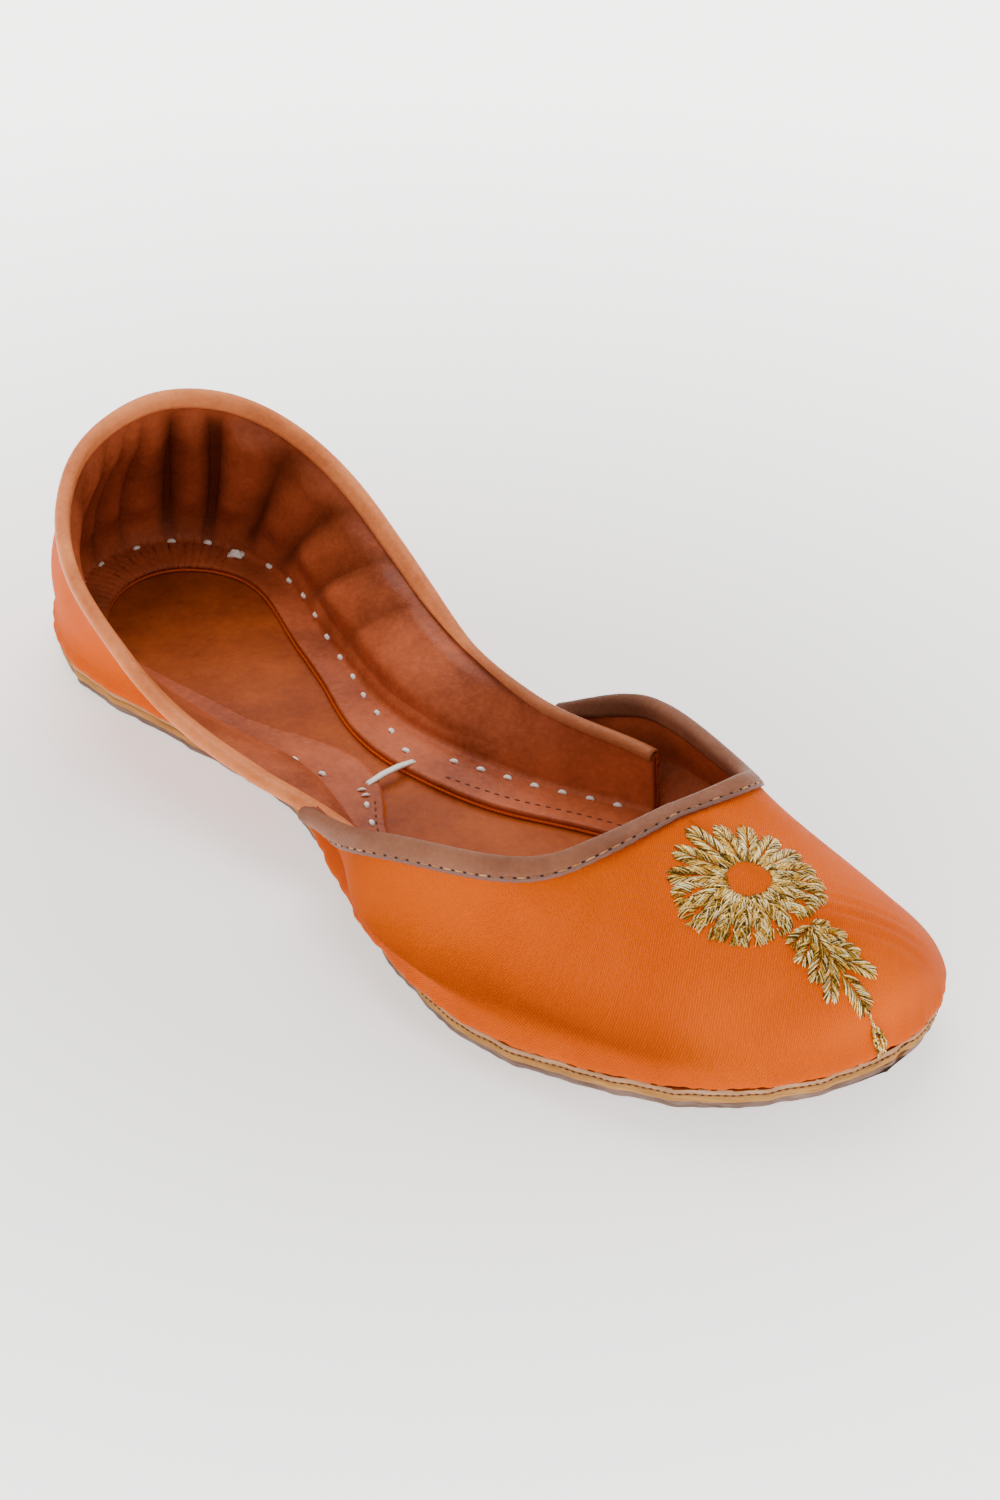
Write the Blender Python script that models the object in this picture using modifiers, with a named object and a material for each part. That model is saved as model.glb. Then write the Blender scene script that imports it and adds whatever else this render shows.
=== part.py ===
"""A mojari: a flat slip-on shoe of satin-covered leather on a thin layered sole, toe toward -Y and heel toward +Y."""

from collections import namedtuple

import bmesh
import bpy
import numpy as np

# Driving sizes, in metres
SHOE_LENGTH = 0.250
BALL_WIDTH = 0.086
HEEL_RADIUS = 0.0268
TOE_RADIUS = 0.042
OUTSOLE_THICKNESS = 0.0017
MIDSOLE_THICKNESS = 0.0015
INSOLE_THICKNESS = 0.0013
CLEARANCE = 0.0003
ARCH_RISE = 0.0015
TOE_SPRING = 0.006
HEEL_RISE = 0.0006
COLLAR_HEIGHT = 0.0465
INSTEP_HEIGHT = 0.037
UPPER_WALL = 0.002
FOOT_INSET = 0.0016
MARGIN_BEND_RADIUS = 0.003
VAMP_BINDING_THICKNESS = 0.0008
VAMP_BINDING_WIDTH = 0.0040
VAMP_BINDING_LINING_WIDTH = 0.003
QUARTER_BINDING_THICKNESS = 0.0008
QUARTER_BINDING_WIDTH = 0.0034
QUARTER_BINDING_LINING_WIDTH = 0.003
MIDSOLE_INSET = 0.0003
OUTSOLE_INSET = 0.0009
MIDDLE_SHIFT = 0.0089

# Where the rise at the back, the arch and the toe spring lie, as shares of the length from the heel
HEEL_RISE_END = 0.12
ARCH_START = 0.28
ARCH_END = 0.56
SPRING_START = 0.70

# Ends of the two upper pieces, as turns round the outline from the heel (0) to the toe (1)
VAMP_REAR_TURN = 0.462
QUARTER_FRONT_TURN = 0.577

# Counts of faces
STEPS_ALONG = 26
STEPS_ACROSS = 6
VAMP_STATIONS = 56
VAMP_ROWS = 11
QUARTER_STATIONS = 54
WALL_ROWS = 6
BEND_ROWS = 3
EDGE_ROWS = 24
ROLL_STEPS = 4

# Half width and sideways bend of the centre line, as shares of BALL_WIDTH, at shares of the length from the heel
SoleSection = namedtuple("SoleSection", "along half_width swing")
SOLE = (
    SoleSection(0.00, None, 0.00),
    SoleSection(0.10, 0.335, -0.025),
    SoleSection(0.25, 0.278, -0.075),
    SoleSection(0.40, 0.233, -0.110),
    SoleSection(0.50, 0.306, -0.113),
    SoleSection(0.62, 0.445, -0.103),
    SoleSection(0.75, 0.500, -0.102),
    SoleSection(0.88, 0.425, -0.060),
    SoleSection(1.00, None, 0.00),
)

# Collar edge: height and outward flare as shares of COLLAR_HEIGHT, lean of the wall's foot outward in degrees, and
# how far the foot is tucked in behind the vamp's wing, from 0 to 1
CollarSection = namedtuple("CollarSection", "along height flare lean tuck")
COLLAR = (
    CollarSection(0.00, 1.000, -0.260, 22, 0),
    CollarSection(0.08, 0.890, -0.030, 22, 0),
    CollarSection(0.18, 0.620, 0.235, 28, 0),
    CollarSection(0.30, 0.405, 0.335, 38, 0),
    CollarSection(0.42, 0.295, 0.250, 32, 1),
    CollarSection(0.52, 0.340, 0.040, 10, 1),
    CollarSection(0.62, 0.345, -0.075, 0, 1),
)

# Turned-in margin of the quarter on the -X (near) and +X (far) sides: distance in from the wall's bend to its seam,
# and on from the seam to its edge, as shares of BALL_WIDTH
MarginSection = namedtuple("MarginSection", "along near_seam near_edge far_seam far_edge")
MARGIN = (
    MarginSection(0.00, 0.036, 0.055, 0.036, 0.055),
    MarginSection(0.10, 0.015, 0.050, 0.015, 0.050),
    MarginSection(0.20, 0.015, 0.047, 0.015, 0.047),
    MarginSection(0.30, 0.027, 0.045, 0.027, 0.045),
    MarginSection(0.43, 0.071, 0.053, 0.071, 0.053),
    MarginSection(0.49, 0.011, 0.050, 0.026, 0.102),
    MarginSection(0.55, 0.007, 0.045, 0.007, 0.105),
    MarginSection(0.62, 0.007, 0.045, 0.011, 0.095),
)

# Throat edge from the toe's centre (0) to a wing's end (1): half width of the opening as a share of BALL_WIDTH, place
# along the length, height above the insole on each side as a share of INSTEP_HEIGHT
ThroatSection = namedtuple("ThroatSection", "share half_width along near_height far_height")
THROAT = (
    ThroatSection(0.00, 0.000, 0.783, 1.01, 1.01),
    ThroatSection(0.15, 0.205, 0.781, 1.00, 0.96),
    ThroatSection(0.35, 0.338, 0.748, 0.88, 0.80),
    ThroatSection(0.60, 0.446, 0.616, 0.67, 0.65),
    ThroatSection(0.80, 0.442, 0.565, 0.54, 0.55),
    ThroatSection(1.00, 0.410, 0.503, 0.38, 0.27),
)

# Vamp's lines from foot to throat: handle lengths as shares of INSTEP_HEIGHT, angles in degrees
VampSection = namedtuple("VampSection", "share rise lean reach slope")
VAMP = (
    VampSection(0.00, 0.66, 16, 1.15, 8),
    VampSection(0.25, 0.37, 23, 1.03, 51),
    VampSection(0.50, 0.42, 19, 0.82, 74),
    VampSection(0.75, 0.35, 20, 0.65, 80),
    VampSection(1.00, 0.12, 14, 0.12, 150),
)

Colour = namedtuple("Colour", "red green blue")
SATIN = Colour(0.89, 0.19, 0.017)
INSOLE_BROWN = Colour(0.30, 0.07, 0.012)
TAN = Colour(0.78, 0.46, 0.18)
GREY_BROWN = Colour(0.38, 0.24, 0.19)
DARK_BINDING = Colour(0.26, 0.09, 0.048)
LIGHT_BINDING = Colour(0.61, 0.19, 0.065)

MIDSOLE_BOTTOM = OUTSOLE_THICKNESS + CLEARANCE
INSOLE_BOTTOM = MIDSOLE_BOTTOM + MIDSOLE_THICKNESS + CLEARANCE
UPPER_BOTTOM = INSOLE_BOTTOM + INSOLE_THICKNESS + CLEARANCE
UP = np.array([0.0, 0.0, 1.0])


def smooth(places, values, at):
    """Values at the places in at, on a smooth curve through the given ones."""
    places = np.asarray(places, float)
    values = np.asarray(values, float)
    slopes = np.gradient(values, places)
    at = np.clip(at, places[0], places[-1])
    left = np.clip(np.searchsorted(places, at) - 1, 0, len(places) - 2)
    span = places[left + 1] - places[left]
    step = (at - places[left]) / span
    start = values[left] * (1 + 2 * step) * (1 - step) ** 2
    start += slopes[left] * span * step * (1 - step) ** 2
    end = values[left + 1] * step**2 * (3 - 2 * step)
    end -= slopes[left + 1] * span * step**2 * (1 - step)
    return start + end


def column(table, name):
    return [getattr(row, name) for row in table]


def lengthwise(table, name, along):
    """A column of a table whose rows run along the shoe."""
    return smooth(column(table, "along"), column(table, name), along)


def crosswise(table, near, far, share):
    """A near and a far column of a table whose rows run from the middle (0) to both sides (-1 and 1)."""
    places = column(table, "share")
    places = [-place for place in places[:0:-1]] + places
    values = column(table, near)[:0:-1] + column(table, far)
    return smooth(places, values, share)


def fullness(along):
    """Half width over the half width of an ellipse as long as the shoe, so that both ends come out round."""
    ends = {SOLE[0].along: HEEL_RADIUS, SOLE[-1].along: TOE_RADIUS}
    values = []
    for row in SOLE:
        if row.along in ends:
            values.append(np.sqrt(ends[row.along] * SHOE_LENGTH / 2))
        else:
            values.append(row.half_width * BALL_WIDTH / (2 * np.sqrt(row.along * (1 - row.along))))
    return smooth(column(SOLE, "along"), values, along)


def swing(along):
    """Distance of the centre line from the middle of the whole shoe's width."""
    return BALL_WIDTH * lengthwise(SOLE, "swing", along) + MIDDLE_SHIFT


def along_of_turn(turn):
    return 0.5 * (1 - np.cos(np.pi * turn))


def outline(turn):
    """Points of the sole's outline. A turn runs from the toe (-1) by the -X side to the heel (0) and back (1)."""
    turn = np.asarray(turn, float)
    along = along_of_turn(turn)
    x = np.sin(np.pi * turn) * fullness(along) + swing(along)
    y = SHOE_LENGTH * (0.5 - along)
    return np.stack([x, y, np.zeros_like(x)], axis=-1)


def outward(turn):
    """Level unit vectors at right angles to the outline."""
    step = 1e-4
    run = outline(np.asarray(turn) + step) - outline(np.asarray(turn) - step)
    run /= np.linalg.norm(run, axis=-1, keepdims=True)
    return np.stack([-run[..., 1], run[..., 0], np.zeros_like(run[..., 0])], axis=-1)


def lift(y):
    """Height of the sole's underside: flat at heel and forefoot, a low arch between and a rise at both ends."""
    along = 0.5 - np.asarray(y) / SHOE_LENGTH
    heel = np.clip(1 - along / HEEL_RISE_END, 0, 1)
    arch = np.clip((along - ARCH_START) / (ARCH_END - ARCH_START), 0, 1)
    spring = np.clip((along - SPRING_START) / (1 - SPRING_START), 0, 1)
    return HEEL_RISE * heel**2 + ARCH_RISE * np.sin(np.pi * arch) ** 2 + TOE_SPRING * spring**2


def plan(turn, inset, height):
    """Points beside the outline, inset from it, at a height above the sole's underside."""
    points = outline(turn) - outward(turn) * np.asarray(inset)[..., None]
    points[..., 2] = lift(points[..., 1]) + height
    return points


def curve(start, first_handle, last_handle, end, at):
    """Points of cubic curves, one for each start, at the shares in at."""
    at = np.asarray(at)[None, :, None]
    points = start[:, None] * (1 - at) ** 3
    points = points + 3 * first_handle[:, None] * at * (1 - at) ** 2
    points = points + 3 * last_handle[:, None] * at**2 * (1 - at)
    return points + end[:, None] * at**3


def tilted(level, degrees):
    """Unit vectors leaning from upright toward a level direction."""
    angle = np.radians(degrees)[:, None]
    return level * np.sin(angle) + UP * np.cos(angle)


def throat_edge(share):
    """Points of the throat edge, the vamp's upper boundary."""
    along = crosswise(THROAT, "along", "along", share)
    half = BALL_WIDTH * crosswise(THROAT, "half_width", "half_width", share)
    y = SHOE_LENGTH * (0.5 - along)
    x = swing(along) + np.sign(share) * half
    height = INSTEP_HEIGHT * crosswise(THROAT, "near_height", "far_height", share)
    return np.stack([x, y, lift(y) + UPPER_BOTTOM + height], axis=-1)


def vamp_surface(share, rows):
    """Outside of the vamp, one line of points from foot to throat for each share across it."""
    turns = np.where(share < 0, -1, 1) * (1 - (1 - VAMP_REAR_TURN) * np.abs(share))
    level = outward(turns)
    lean = crosswise(VAMP, "lean", "lean", share)
    foot = plan(turns, FOOT_INSET, UPPER_BOTTOM + UPPER_WALL * np.sin(np.radians(lean)))
    edge = throat_edge(share)
    rise = INSTEP_HEIGHT * crosswise(VAMP, "rise", "rise", share)[:, None]
    reach = INSTEP_HEIGHT * crosswise(VAMP, "reach", "reach", share)[:, None]
    first = foot + rise * tilted(level, lean)
    last = edge + reach * tilted(level, 90 + crosswise(VAMP, "slope", "slope", share))
    return curve(foot, first, last, edge, rows)


def quarter_foot_inset(along):
    """The quarter's foot stands at the outline, and behind the vamp's wall where the wings cover it."""
    tuck = np.clip(lengthwise(COLLAR, "tuck", along), 0, 1)
    return FOOT_INSET + tuck * (UPPER_WALL + 2 * CLEARANCE)


def quarter_wall(turns, rows):
    """Outside of the quarter's wall, from the margin's bend to the collar edge."""
    along = along_of_turn(turns)
    level = outward(turns)
    start = plan(turns, quarter_foot_inset(along), UPPER_BOTTOM + MARGIN_BEND_RADIUS)
    flare = COLLAR_HEIGHT * lengthwise(COLLAR, "flare", along)
    height = COLLAR_HEIGHT * lengthwise(COLLAR, "height", along)
    edge = plan(turns, FOOT_INSET - flare, UPPER_BOTTOM + height)
    first = start + 0.4 * height[:, None] * tilted(level, lengthwise(COLLAR, "lean", along))
    last = edge - 0.3 * (edge - start)
    return curve(start, first, last, edge, rows)


def quarter_margin(turns):
    """Underside of the turned-in margin, from its edge to the foot of the wall."""
    along = along_of_turn(turns)
    near = np.asarray(turns) < 0
    seam = np.where(near, lengthwise(MARGIN, "near_seam", along), lengthwise(MARGIN, "far_seam", along))
    edge = np.where(near, lengthwise(MARGIN, "near_edge", along), lengthwise(MARGIN, "far_edge", along))
    foot = quarter_foot_inset(along)
    bend = foot + MARGIN_BEND_RADIUS
    rows = [plan(turns, bend + BALL_WIDTH * (seam + edge), UPPER_BOTTOM)]
    rows.append(plan(turns, bend + BALL_WIDTH * seam, UPPER_BOTTOM))
    for step in range(BEND_ROWS):
        angle = 0.5 * np.pi * step / BEND_ROWS
        inset = foot + MARGIN_BEND_RADIUS * (1 - np.sin(angle))
        rows.append(plan(turns, inset, UPPER_BOTTOM + MARGIN_BEND_RADIUS * (1 - np.cos(angle))))
    return np.stack(rows, axis=1)


def binding_surface(wall, facing, width, lining_width):
    """Inner face of an edging folded over the last row of a wall's points. Facing is 1 where the wall's outside lies
    on the left of its lines' order, and -1 where it lies on the right."""
    steps = np.linalg.norm(np.diff(wall, axis=1), axis=2)
    below = np.zeros(wall.shape[:2])
    below[:, :-1] = np.cumsum(steps[:, ::-1], axis=1)[:, ::-1]
    rise = np.gradient(wall, axis=1)
    out = facing * np.cross(rise, np.gradient(wall, axis=0))
    out /= np.linalg.norm(out, axis=2, keepdims=True)
    rise /= np.linalg.norm(rise, axis=2, keepdims=True)

    def at_depth(grid, depth):
        lines = []
        for line, depths in zip(grid, below):
            lines.append([np.interp(depth, depths[::-1], line[::-1, axis]) for axis in range(3)])
        return np.array(lines)

    rows = []
    for depth in (width, 0.5 * width, 0.15 * width):
        rows.append(at_depth(wall, depth) + CLEARANCE * at_depth(out, depth))
    radius = 0.5 * UPPER_WALL + CLEARANCE
    middle = wall[:, -1] - 0.5 * UPPER_WALL * out[:, -1]
    for step in range(ROLL_STEPS + 1):
        angle = np.pi * step / ROLL_STEPS
        rows.append(middle + radius * (np.cos(angle) * out[:, -1] + np.sin(angle) * rise[:, -1]))
    for depth in (0.5 * lining_width, lining_width):
        rows.append(at_depth(wall, depth) - (UPPER_WALL + CLEARANCE) * at_depth(out, depth))
    return np.stack(rows, axis=1)


def collection(name):
    made = bpy.data.collections.new(name)
    bpy.context.scene.collection.children.link(made)
    return made


def material(name, colour, roughness):
    made = bpy.data.materials.new(name)
    made.use_nodes = True
    shader = made.node_tree.nodes["Principled BSDF"]
    shader.inputs["Base Color"].default_value = (*colour, 1)
    shader.inputs["Roughness"].default_value = roughness
    shader.inputs["Metallic"].default_value = 0.0
    made.diffuse_color = (*colour, 1)
    return made


def sheet(name, points, thickness, side, look, into):
    """One closed piece: a grid of points given a thickness, on the side that its faces point to (1) or away (-1)."""
    lines, rows = points.shape[:2]
    shape = bmesh.new()
    bmesh.ops.create_grid(shape, x_segments=rows - 1, y_segments=lines - 1, size=SHOE_LENGTH)
    for vertex, point in zip(shape.verts, points.reshape(-1, 3)):
        vertex.co = point
    mesh = bpy.data.meshes.new(name)
    shape.to_mesh(mesh)
    shape.free()
    mesh.materials.append(look)
    made = bpy.data.objects.new(name, mesh)
    into.objects.link(made)
    wall = made.modifiers.new("Wall", "SOLIDIFY")
    wall.thickness = thickness
    wall.offset = side
    wall.use_even_offset = True
    mesh.shade_smooth()
    return made


def sole_layer(name, inset, bottom, thickness, look, into):
    """One sheet of the sole: its sides and ends follow the outline and its middle is blended between them."""
    corner = 0.12
    sides = np.linspace(corner, 1 - corner, STEPS_ALONG + 1)
    ends = np.linspace(-corner, corner, STEPS_ACROSS + 1)
    near = plan(-sides, inset, bottom)[:, None]
    far = plan(sides, inset, bottom)[:, None]
    heel = plan(ends, inset, bottom)[None]
    toe = plan(-1 - ends, inset, bottom)[None]
    down = np.linspace(0, 1, STEPS_ALONG + 1)[:, None, None]
    over = np.linspace(0, 1, STEPS_ACROSS + 1)[None, :, None]
    points = near * (1 - over) + far * over + heel * (1 - down) + toe * down
    points = points - (1 - down) * ((1 - over) * near[:1] + over * far[:1])
    points = points - down * ((1 - over) * near[-1:] + over * far[-1:])
    points[..., 2] = lift(points[..., 1]) + bottom
    return sheet(name, points, thickness, -1, look, into)


def sole(into):
    grey = material("rough sole leather", GREY_BROWN, 0.9)
    tan = material("tan leather", TAN, 0.8)
    brown = material("brown leather", INSOLE_BROWN, 0.5)
    sole_layer("outsole", OUTSOLE_INSET, 0.0, OUTSOLE_THICKNESS, grey, into)
    sole_layer("midsole", MIDSOLE_INSET, MIDSOLE_BOTTOM, MIDSOLE_THICKNESS, tan, into)
    sole_layer("insole", 0.0, INSOLE_BOTTOM, INSOLE_THICKNESS, brown, into)


def vamp(satin, into):
    shares = np.linspace(-1, 1, VAMP_STATIONS + 1)
    wall = vamp_surface(shares, np.linspace(0, 1, VAMP_ROWS + 1))
    sheet("upper_vamp", wall, UPPER_WALL, 1, satin, into)
    leather = material("dark binding leather", DARK_BINDING, 0.6)
    top = vamp_surface(shares, np.linspace(0.4, 1, EDGE_ROWS + 1))
    folded = binding_surface(top, -1, VAMP_BINDING_WIDTH, VAMP_BINDING_LINING_WIDTH)
    sheet("vamp_binding", folded, VAMP_BINDING_THICKNESS, -1, leather, into)


def quarter(satin, into):
    turns = np.linspace(-QUARTER_FRONT_TURN, QUARTER_FRONT_TURN, QUARTER_STATIONS + 1)
    wall = quarter_wall(turns, np.linspace(0, 1, WALL_ROWS + 1))
    whole = np.concatenate([quarter_margin(turns), wall], axis=1)
    sheet("upper_quarter", whole, UPPER_WALL, -1, satin, into)
    leather = material("light binding leather", LIGHT_BINDING, 0.5)
    top = quarter_wall(turns, np.linspace(0.4, 1, EDGE_ROWS + 1))
    folded = binding_surface(top, 1, QUARTER_BINDING_WIDTH, QUARTER_BINDING_LINING_WIDTH)
    sheet("quarter_binding", folded, QUARTER_BINDING_THICKNESS, 1, leather, into)


def main():
    for leftover in list(bpy.data.objects):
        bpy.data.objects.remove(leftover)
    parts = collection("mojari_shoe")
    satin = material("orange satin", SATIN, 0.45)
    sole(parts)
    vamp(satin, parts)
    quarter(satin, parts)


if __name__ == "__main__":
    main()
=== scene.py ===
"""Looks of the mojari shoe: satin, linings, leather edgings, cut sole edge, hand stitches and embroidery."""

from collections import namedtuple

import bpy
import numpy as np
from mathutils import Matrix, Vector, noise
from mathutils.bvhtree import BVHTree


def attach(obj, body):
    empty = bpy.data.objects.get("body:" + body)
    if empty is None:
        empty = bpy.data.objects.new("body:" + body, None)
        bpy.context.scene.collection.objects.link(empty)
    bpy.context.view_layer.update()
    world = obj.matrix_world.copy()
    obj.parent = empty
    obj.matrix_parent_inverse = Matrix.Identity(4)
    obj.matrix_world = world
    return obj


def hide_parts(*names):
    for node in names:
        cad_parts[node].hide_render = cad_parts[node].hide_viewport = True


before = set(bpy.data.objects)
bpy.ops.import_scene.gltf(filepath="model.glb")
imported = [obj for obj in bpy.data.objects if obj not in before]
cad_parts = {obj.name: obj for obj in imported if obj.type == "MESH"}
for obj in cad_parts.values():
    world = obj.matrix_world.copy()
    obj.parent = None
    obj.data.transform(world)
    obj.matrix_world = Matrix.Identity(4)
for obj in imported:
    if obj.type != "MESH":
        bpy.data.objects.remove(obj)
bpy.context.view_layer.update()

bl_info = {
    "name": "Mojari shoe dressing",
    "version": (1, 0, 0),
    "blender": (4, 5, 0),
    "location": "View3D > Sidebar > Mojari",
    "description": "Makes the visible pieces of a satin and leather mojari shoe round its frame",
    "category": "Object",
}

MM = 0.001

# Driving sizes of the frame, in metres
SHOE_LENGTH = 0.250
BALL_WIDTH = 0.086
HEEL_RADIUS = 0.0268
TOE_RADIUS = 0.042
OUTSOLE_THICKNESS = 0.0017
MIDSOLE_THICKNESS = 0.0015
INSOLE_THICKNESS = 0.0013
CLEARANCE = 0.0003
ARCH_RISE = 0.0015
TOE_SPRING = 0.006
HEEL_RISE = 0.0006
COLLAR_HEIGHT = 0.0465
INSTEP_HEIGHT = 0.037
UPPER_WALL = 0.002
FOOT_INSET = 0.0016
MARGIN_BEND_RADIUS = 0.003
MIDDLE_SHIFT = 0.0089
MIDSOLE_INSET = 0.0003
OUTSOLE_INSET = 0.0009
HEEL_RISE_END = 0.12
ARCH_START = 0.28
ARCH_END = 0.56
SPRING_START = 0.70
VAMP_REAR_TURN = 0.462
QUARTER_FRONT_TURN = 0.577
MIDSOLE_BOTTOM = OUTSOLE_THICKNESS + CLEARANCE
INSOLE_BOTTOM = MIDSOLE_BOTTOM + MIDSOLE_THICKNESS + CLEARANCE
UPPER_BOTTOM = INSOLE_BOTTOM + INSOLE_THICKNESS + CLEARANCE
UP = np.array([0.0, 0.0, 1.0])
DOWN = (0, 0, -1)


def named_rows(fields, rows):
    """Rows of numbers with a name for each column."""
    row = namedtuple("Row", fields)
    return tuple(row(*numbers) for numbers in rows)


# Sections of the frame, as shares of its driving sizes
SOLE = named_rows("along half_width swing", (
    (0.00, None, 0.00),
    (0.10, 0.335, -0.025),
    (0.25, 0.278, -0.075),
    (0.40, 0.233, -0.110),
    (0.50, 0.306, -0.113),
    (0.62, 0.445, -0.103),
    (0.75, 0.500, -0.102),
    (0.88, 0.425, -0.060),
    (1.00, None, 0.00),
))
COLLAR = named_rows("along near_height far_height near_flare far_flare lean tuck", (
    (0.00, 1.000, 1.000, -0.260, -0.260, 22, 0),
    (0.08, 0.890, 0.890, -0.030, -0.030, 22, 0),
    (0.18, 0.620, 0.620, 0.235, 0.235, 28, 0),
    (0.30, 0.328, 0.405, 0.335, 0.335, 38, 0),
    (0.42, 0.192, 0.295, 0.255, 0.250, 32, 1),
    (0.52, 0.170, 0.340, 0.010, 0.040, 10, 1),
    (0.62, 0.160, 0.345, -0.090, -0.075, 0, 1),
))
MARGIN = named_rows("along near_seam near_edge far_seam far_edge", (
    (0.00, 0.036, 0.055, 0.036, 0.055),
    (0.10, 0.015, 0.050, 0.015, 0.050),
    (0.20, 0.015, 0.047, 0.015, 0.047),
    (0.30, 0.027, 0.045, 0.027, 0.045),
    (0.43, 0.071, 0.053, 0.071, 0.053),
    (0.49, 0.011, 0.050, 0.026, 0.102),
    (0.55, 0.007, 0.045, 0.007, 0.105),
    (0.62, 0.007, 0.045, 0.011, 0.095),
))
THROAT = named_rows("share half_width along near_height far_height", (
    (0.00, 0.000, 0.783, 1.01, 1.01),
    (0.15, 0.205, 0.781, 1.00, 0.96),
    (0.35, 0.338, 0.748, 0.88, 0.80),
    (0.60, 0.446, 0.616, 0.67, 0.65),
    (0.80, 0.442, 0.565, 0.54, 0.55),
    (1.00, 0.410, 0.503, 0.38, 0.27),
))
VAMP = named_rows("share rise lean reach slope", (
    (0.00, 0.66, 16, 1.15, 8),
    (0.25, 0.37, 23, 1.03, 51),
    (0.50, 0.42, 19, 0.82, 74),
    (0.75, 0.35, 20, 0.65, 80),
    (1.00, 0.12, 14, 0.12, 150),
))

# Folds of the heel lining: turn round the outline, half width in turns, depth of the trough as a share of the
# lining's fullness, lean of the fold in turns over the wall's height
FOLDS = named_rows("turn width depth lean", (
    (-0.150, 0.026, 0.55, -0.010),
    (-0.088, 0.022, 0.60, -0.004),
    (-0.040, 0.020, 0.70, 0.002),
    (0.008, 0.018, 0.65, -0.006),
    (0.080, 0.030, 1.15, 0.004),
    (0.141, 0.017, 1.60, 0.022),
    (0.206, 0.026, 1.00, 0.050),
    (0.262, 0.023, 0.85, 0.060),
    (0.314, 0.022, 0.75, 0.055),
    (0.366, 0.018, 0.55, 0.040),
))

# Lines round the shoe and rows up the wall of each laid piece
SOLE_LINES = 801
VAMP_LINES, VAMP_ROWS = 361, 96
VAMP_LINING_LINES, VAMP_LINING_ROWS = 161, 25
QUARTER_LINES, QUARTER_ROWS = 641, 57
MARGIN_ROWS, BEND_ROWS = 12, 8
EDGING_LINES, THROAT_ROWS, COLLAR_ROWS = 361, 61, 96

# The wall's layers together, and the gap of an edging from them
WALL_LAYERS = 0.0017
EDGING_GAP = 0.00010

# Where an edging's rows lie outside, as shares of its width, and how far they stand out, in millimetres
EDGING_SWELL = ((1.0, 0.0), (0.87, 0.14), (0.78, 0.02), (0.66, 0.16), (0.45, 0.24), (0.25, 0.2), (0.1, 0.08))

# White stitches of the margin: distance in from the outline on the -X (near) and +X (far) sides, as shares of
# BALL_WIDTH, at turns round the outline
SEWING = named_rows("turn near far", (
    (0.000, 0.053, 0.053),
    (0.200, 0.047, 0.043),
    (0.340, 0.049, 0.043),
    (0.380, 0.058, 0.057),
    (0.400, 0.067, 0.077),
    (0.420, 0.079, 0.097),
    (0.435, 0.091, 0.122),
    (0.452, 0.122, 0.158),
    (0.465, 0.142, 0.126),
    (0.480, 0.126, 0.110),
    (0.520, 0.107, 0.088),
    (0.577, 0.100, 0.077),
))

# Middle and pitch of the toe's wrinkles, and the tuck where the tail of the embroidery is pulled down
WRINKLE_X = 0.0125
WRINKLE_Y = -0.113
WRINKLE_PITCH = 0.0043
TUCK_X = 0.0078
TUCK_Z = 0.0105

# Heights of the satin's wrinkles, waves and gathers, and its pull at the tail
RIDGE_HEIGHT = 0.34 * MM
WAVE_HEIGHT = 0.20 * MM
GATHER_HEIGHT = 0.10 * MM
TAIL_PULL = 0.9 * MM

# Gap between the vamp's satin and its lining at the throat, what it gains toward the foot and at the tail
LINING_GAP = 0.25 * MM
LINING_SINK = 0.55 * MM
LINING_TAIL_SINK = 1.2 * MM

# Ends of the thread across the waist, the knot at the heel and the two small stitches beside the waist
TIE_ENDS = ((-0.0082, 0.0136, 0.02), (0.0066, 0.0140, 0.02))
KNOT = (0.0290, 0.1045, 0.0135)
SMALL_STITCHES = ((-0.0098, 0.0125, 0.02), (-0.0104, 0.0105, 0.02))

# Drawing boards of the embroidery: middle, way up and the way its drawing runs ahead
FLOWER_BOARD = ((-0.0006, -0.0940, 0.0394), (-0.032, -0.205, 0.978), (0, -1, 0))
LEAF_BOARD = ((0.0007, -0.1087, 0.0361), (-0.224, -0.53, 0.818), (-0.051, -0.832, -0.553))
TAIL_BOARD = ((0.0045, -0.1245, 0.0180), (0.10, -1.0, 0.18), (0.30, 0.0, -1.0))

# Half lengths of the white stitches, of the margin's fine dark ones, and of the needle holes and sole's seam
STITCH_REACH = 0.95 * MM
FINE_REACH = 0.62 * MM
HOLE_REACH = 0.42 * MM

# Petals of the gold flower: angle from the toe's direction toward +X in degrees, distance of the tip from the
# middle, half width, and how far out from the vein its strands start as a share of that
PETALS = named_rows("angle reach half_width comb", (
    (-179, 0.0176, 0.0021, 0.15),
    (-157, 0.0163, 0.0022, 0.15),
    (-134, 0.0159, 0.0023, 0.30),
    (-113, 0.0153, 0.0031, 0.62),
    (-93, 0.0156, 0.0033, 0.78),
    (-75, 0.0153, 0.0033, 0.78),
    (-56, 0.0154, 0.0033, 0.78),
    (-38, 0.0157, 0.0033, 0.75),
    (-19, 0.0152, 0.0032, 0.70),
    (0, 0.0142, 0.0031, 0.70),
    (19, 0.0150, 0.0031, 0.65),
    (39, 0.0157, 0.0030, 0.60),
    (58, 0.0155, 0.0027, 0.45),
    (78, 0.0158, 0.0024, 0.25),
    (98, 0.0164, 0.0022, 0.15),
    (118, 0.0169, 0.0021, 0.15),
    (138, 0.0169, 0.0021, 0.15),
    (159, 0.0161, 0.0021, 0.15),
))

# Short strands round the flower's bare middle, and strands on each side of a lobe of the leaf
EYE_STRANDS = 190
LEAF_STRANDS = 24

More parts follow.
